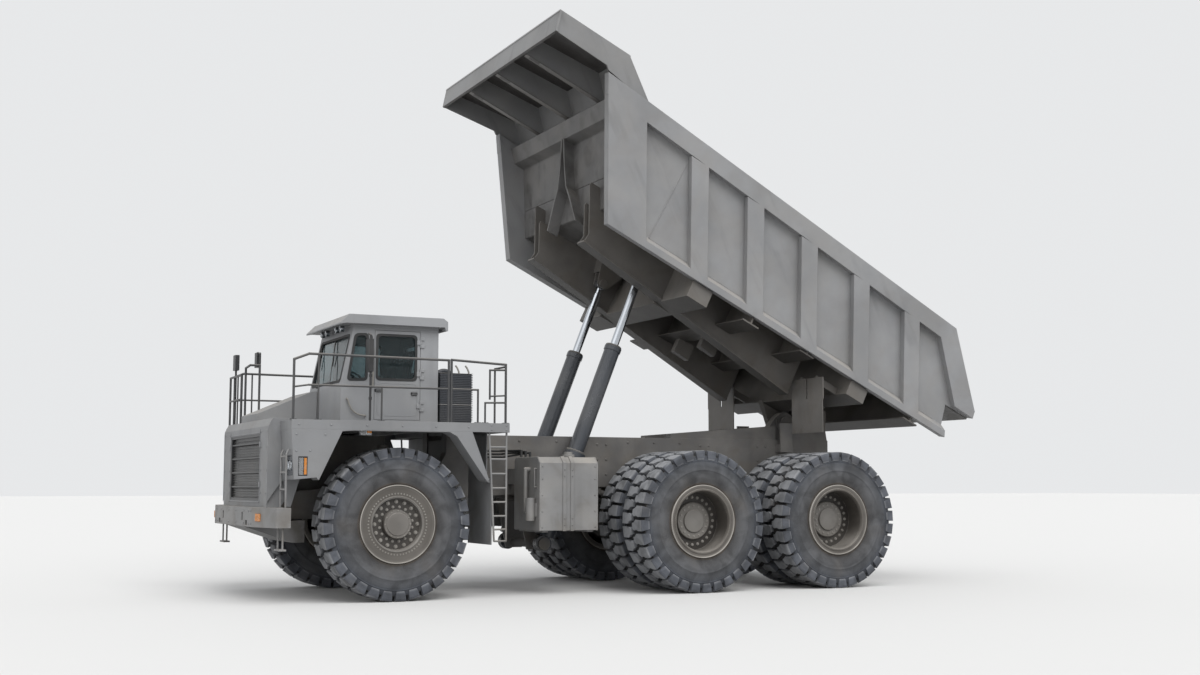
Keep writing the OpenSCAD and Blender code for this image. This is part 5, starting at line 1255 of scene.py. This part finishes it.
def make_bed_welds():
    """Weld beads where the ribs, the rails and the front post meet the side sheets."""
    sheet = 0.002 - RIB_PROUD
    for side, sign in SIDES:
        build = bmesh.new()

        def bead(start, end, radius):
            add_tube(build, [wall_at(sign, u, sheet, w) for u, w in (start, end)], radius, 6)

        for i in range(RIBS):
            u = RIB_FIRST + i * RIB_STEP + POST_SLOPE * 0.200
            top = rail_low(u)
            for edge in (u, u + RIB_W):
                bead((edge - POST_SLOPE * SHEET_LOW, SHEET_LOW), (edge - POST_SLOPE * top, top), 0.012)
        bead((0.930, SHEET_LOW), (0.930, 2.060), 0.012)
        bead((0.95, 0.236), (8.55, 0.236), 0.010)
        bead((0.30, rail_low(0.30)), (7.75, rail_low(7.75)), 0.012)
        built(f"bed_welds_{side}", build, "bed_paint", "bed", "body_paint", 60)


def make_canopy_flanges():
    """Pale flanges under the canopy's deep ribs, from the lip to the front wall."""
    build = bmesh.new()
    outline = [(-2.655, 2.502), (-0.815, 2.546), (-0.815, 2.534), (-2.655, 2.490)]
    for y in (-1.5, 0.0, 1.5):
        add_prism(build, [bed_at(u, y - 0.085, w) for u, w in outline], Vector((0, 0.145, 0)))
    built("canopy_flanges", build, "flange_paint", "bed", "body_paint", None, 0.003, 1)


def make_wall_welds():
    """Weld beads on the front wall: along the box beam, across the plate and down the wishbone's arms."""
    build = bmesh.new()

    def bead(points, proud, radius):
        add_tube(build, [bed_at(wall_u(-proud, w), y, w) for y, w in points], radius, 6)

    for level in (2.087, 2.352):
        bead([(-2.55, level), (2.55, level)], 0.004, 0.012)
    for sign in (1, -1):
        bead([(sign * 0.24, 1.200), (sign * 2.44, 1.200)], 0.003, 0.010)
    for sign in (1, -1):
        arm = [(0.078, 2.05), (0.121, 1.60), (0.226, 1.15), (0.402, 0.925)]
        bead([(sign * y, w) for y, w in arm], 0.003, 0.010)
    built("wall_welds", build, "head_board", "bed", "body_paint", 60)


# Hoists, bolts and trims

def make_hoist_details():
    """Gland rings of the hoists, bolted on the barrels."""
    tilt = Matrix.Rotation(-HOIST_LEAN, 4, "Y") @ Matrix.Rotation(math.pi / 2, 4, "X")
    for side, sign in SIDES:
        for name, inner, radius, along in (("barrel", 0.1632, 0.206, 1.905), ("tube", 0.0882, 0.166, 4.205)):
            profile = [(inner, -0.004), (radius, -0.004), (radius, 0.020), (radius - 0.014, 0.034),
                       (inner + 0.010, 0.034), (inner, 0.026)]
            ring = lathe(f"gland_{name}", profile, 64)
            place = Matrix.Translation(hoist_at(sign, along)) @ tilt
            body = f"{name}_{side}"
            piece(f"gland_{body}", moved(ring, place), "axle_paint", body)
            if name == "barrel":
                spots = placed_spots(ring_points(radius - 0.020, 12, 0.034), place)
                bolts(f"gland_bolts_{side}", spots, body, 0.009, "bolt_steel")


def make_body_bolts():
    """Rows of bolts that hold plates, straps, brackets and posts."""

    def grid(y, xs, zs):
        return [(x, y, z) for x in xs for z in zs]

    deck = grid(DECK_EDGE, (-1.95, -1.66), (3.03, 3.11))
    deck += grid(DECK_EDGE, (1.86, 1.30, 0.66, 0.02, -0.60, -1.22), (3.068,))
    deck += [(x, DECK_EDGE, z) for x, z in ((1.90, 2.90), (1.90, 2.62), (1.66, 2.62), (1.40, 2.90))]
    tank = grid(STRAP_Y, (-3.205, -3.365), (1.30, 1.42, 2.20, 2.32))
    tank += grid(TANK_Y, (-2.76, -3.84), (1.26, 1.55, 1.85, 2.15, 2.38))
    rail = grid(RAIL_Y, (-4.7, -4.9, -7.1, -7.3, -8.5, -8.7), (2.25, 2.55, 2.85))
    rail += grid(RAIL_Y, (-2.2, -3.0, -3.8, -5.4, -6.0, -6.6), (2.90,))
    posts = [(x + dx, 2.530, POST_FOOT)
             for x in (1.960, 1.530, 0.400, -0.838, -0.890, -1.400, -1.540, -1.940)
             for dx in (0.042, -0.042)]
    for side, sign in SIDES:
        out, up = (0, sign, 0), (0, 0, 1)
        for name, places, way, size, look, slot in (
                ("deck", deck, out, 0.013, "cab_paint", "body_paint"),
                ("tank", tank, out, 0.012, "low_paint", "body_paint"),
                ("rail", rail, out, 0.019, "chassis_paint", "chassis_paint"),
                ("post", posts, up, 0.009, "rail_paint", "black_paint")):
            spots = [(at(x, sign * y, z), way) for x, y, z in places]
            bolts(f"{name}_bolts_{side}", spots, "chassis", size, look)
    ahead = (1, 0, 0)
    front = [(at(BUMPER_FACE, sign * y, z), ahead) for _, sign in SIDES for y in (0.30, 0.95, 1.32, 1.48)
             for z in (1.37, 1.59)]
    front += [(at(HOOD_FACE, sign * y, z), ahead) for _, sign in SIDES for y in (1.30, 1.70)
              for z in (1.90, 2.30, 2.70, 2.98)]
    bolts("front_bolts", front, "chassis", 0.015, "cab_paint")


def make_post_plates():
    """Foot plates under the handrail posts; one is wide enough for two posts."""
    build = bmesh.new()
    for _, sign in SIDES:
        for x, half in ((1.960, 0.060), (1.530, 0.060), (0.400, 0.060), (-0.864, 0.088), (-1.400, 0.060),
                        (-1.540, 0.060), (-1.940, 0.060)):
            add_side_box(build, sign, (x - half, x + half), (2.490, 2.5595), (3.1502, POST_FOOT))
    built("post_plates", build, "rail_paint", "chassis", "black_paint", None, 0.002, 1)


def make_deck_treads():
    """Raised anti-slip bars on the deck, turned this way and that from row to row."""
    bar = bmesh.new()
    add_box(bar, (-0.045, -0.005, -0.002), (0.045, 0.005, 0.004))
    bar = to_mesh("tread_bar", bar, None, 0.0015, 1)
    strips = []
    for x, y, count, rows in ((-0.75, 1.98, 26, 3), (0.95, 1.98, 10, 3), (-1.95, -2.35, 60, 10)):
        for row in range(rows):
            shift, turn = (0.045, 45) if row % 2 else (0, -45)
            place = Matrix.Translation(at(x + shift, y + row * 0.16, DECK_TOP))
            mesh = moved(bar, place @ Matrix.Rotation(math.radians(turn), 4, "Z"))
            strips.append(grown("tread_row", trees["row"], mesh, Count=count, Step=(0.06, 0, 0),
                                Material=finish["cab_paint"]))
    piece("deck_treads", joined("deck_treads", strips), "cab_paint", "chassis")


def make_front_details():
    """Latches of the hood, and trims beside, over and under the grille and on the hood's corners."""
    build = bmesh.new()
    for _, sign in SIDES:
        # Back, front, middle, half width, bottom and top of the latches and of the upright trims
        for x0, x1, y, half, z0, z1 in ((2.198, 2.222, 1.245, 0.022, 2.005, 2.095),
                                        (2.198, 2.222, 1.245, 0.022, 2.705, 2.795),
                                        (2.199, 2.207, 1.212, 0.008, 1.72, 3.02),
                                        (2.199, 2.207, 1.790, 0.008, 1.72, 3.02)):
            add_box(build, at(x0, sign * y - half, z0), at(x1, sign * y + half, z1))
    for z in (1.735, 2.965):
        add_box(build, at(2.199, -1.22, z - 0.008), at(2.207, 1.22, z + 0.008))
    built("hood_trims", build, "cab_paint", "chassis", "body_paint", None, 0.003, 1)


def make_tank_details():
    """Weld seams round the tanks' ends, and the guard of the sight glass."""
    loop = [(1.180, 1.200), (2.350, 1.200), (2.350, 2.445), (2.240, 2.555), (1.220, 2.555)]
    guard = [(-2.695, 2.00), (-2.655, 2.00), (-2.655, 2.34), (-2.695, 2.34)]
    for side, sign in SIDES:
        build = bmesh.new()
        for x in (-2.715, -3.885):
            add_tube(build, [at(x, sign * y, z) for y, z in loop], 0.009, 6)
        add_tube(build, [at(x, sign * 2.22, z) for x, z in guard], 0.012, 8)
        built(f"tank_seams_{side}", build, "low_paint", "chassis", "body_paint", 50)


make_camera()
make_stage()
finish_nodes()
make_wheels()
make_window_seals()
make_wipers()
make_door_details()
make_grab_bars()
make_roof_details()
make_mirror_details()
make_air_cleaner()
make_lamps()
make_seats()
make_bed_welds()
make_canopy_flanges()
make_wall_welds()
make_hoist_details()
make_body_bolts()
make_post_plates()
make_deck_treads()
make_front_details()
make_tank_details()
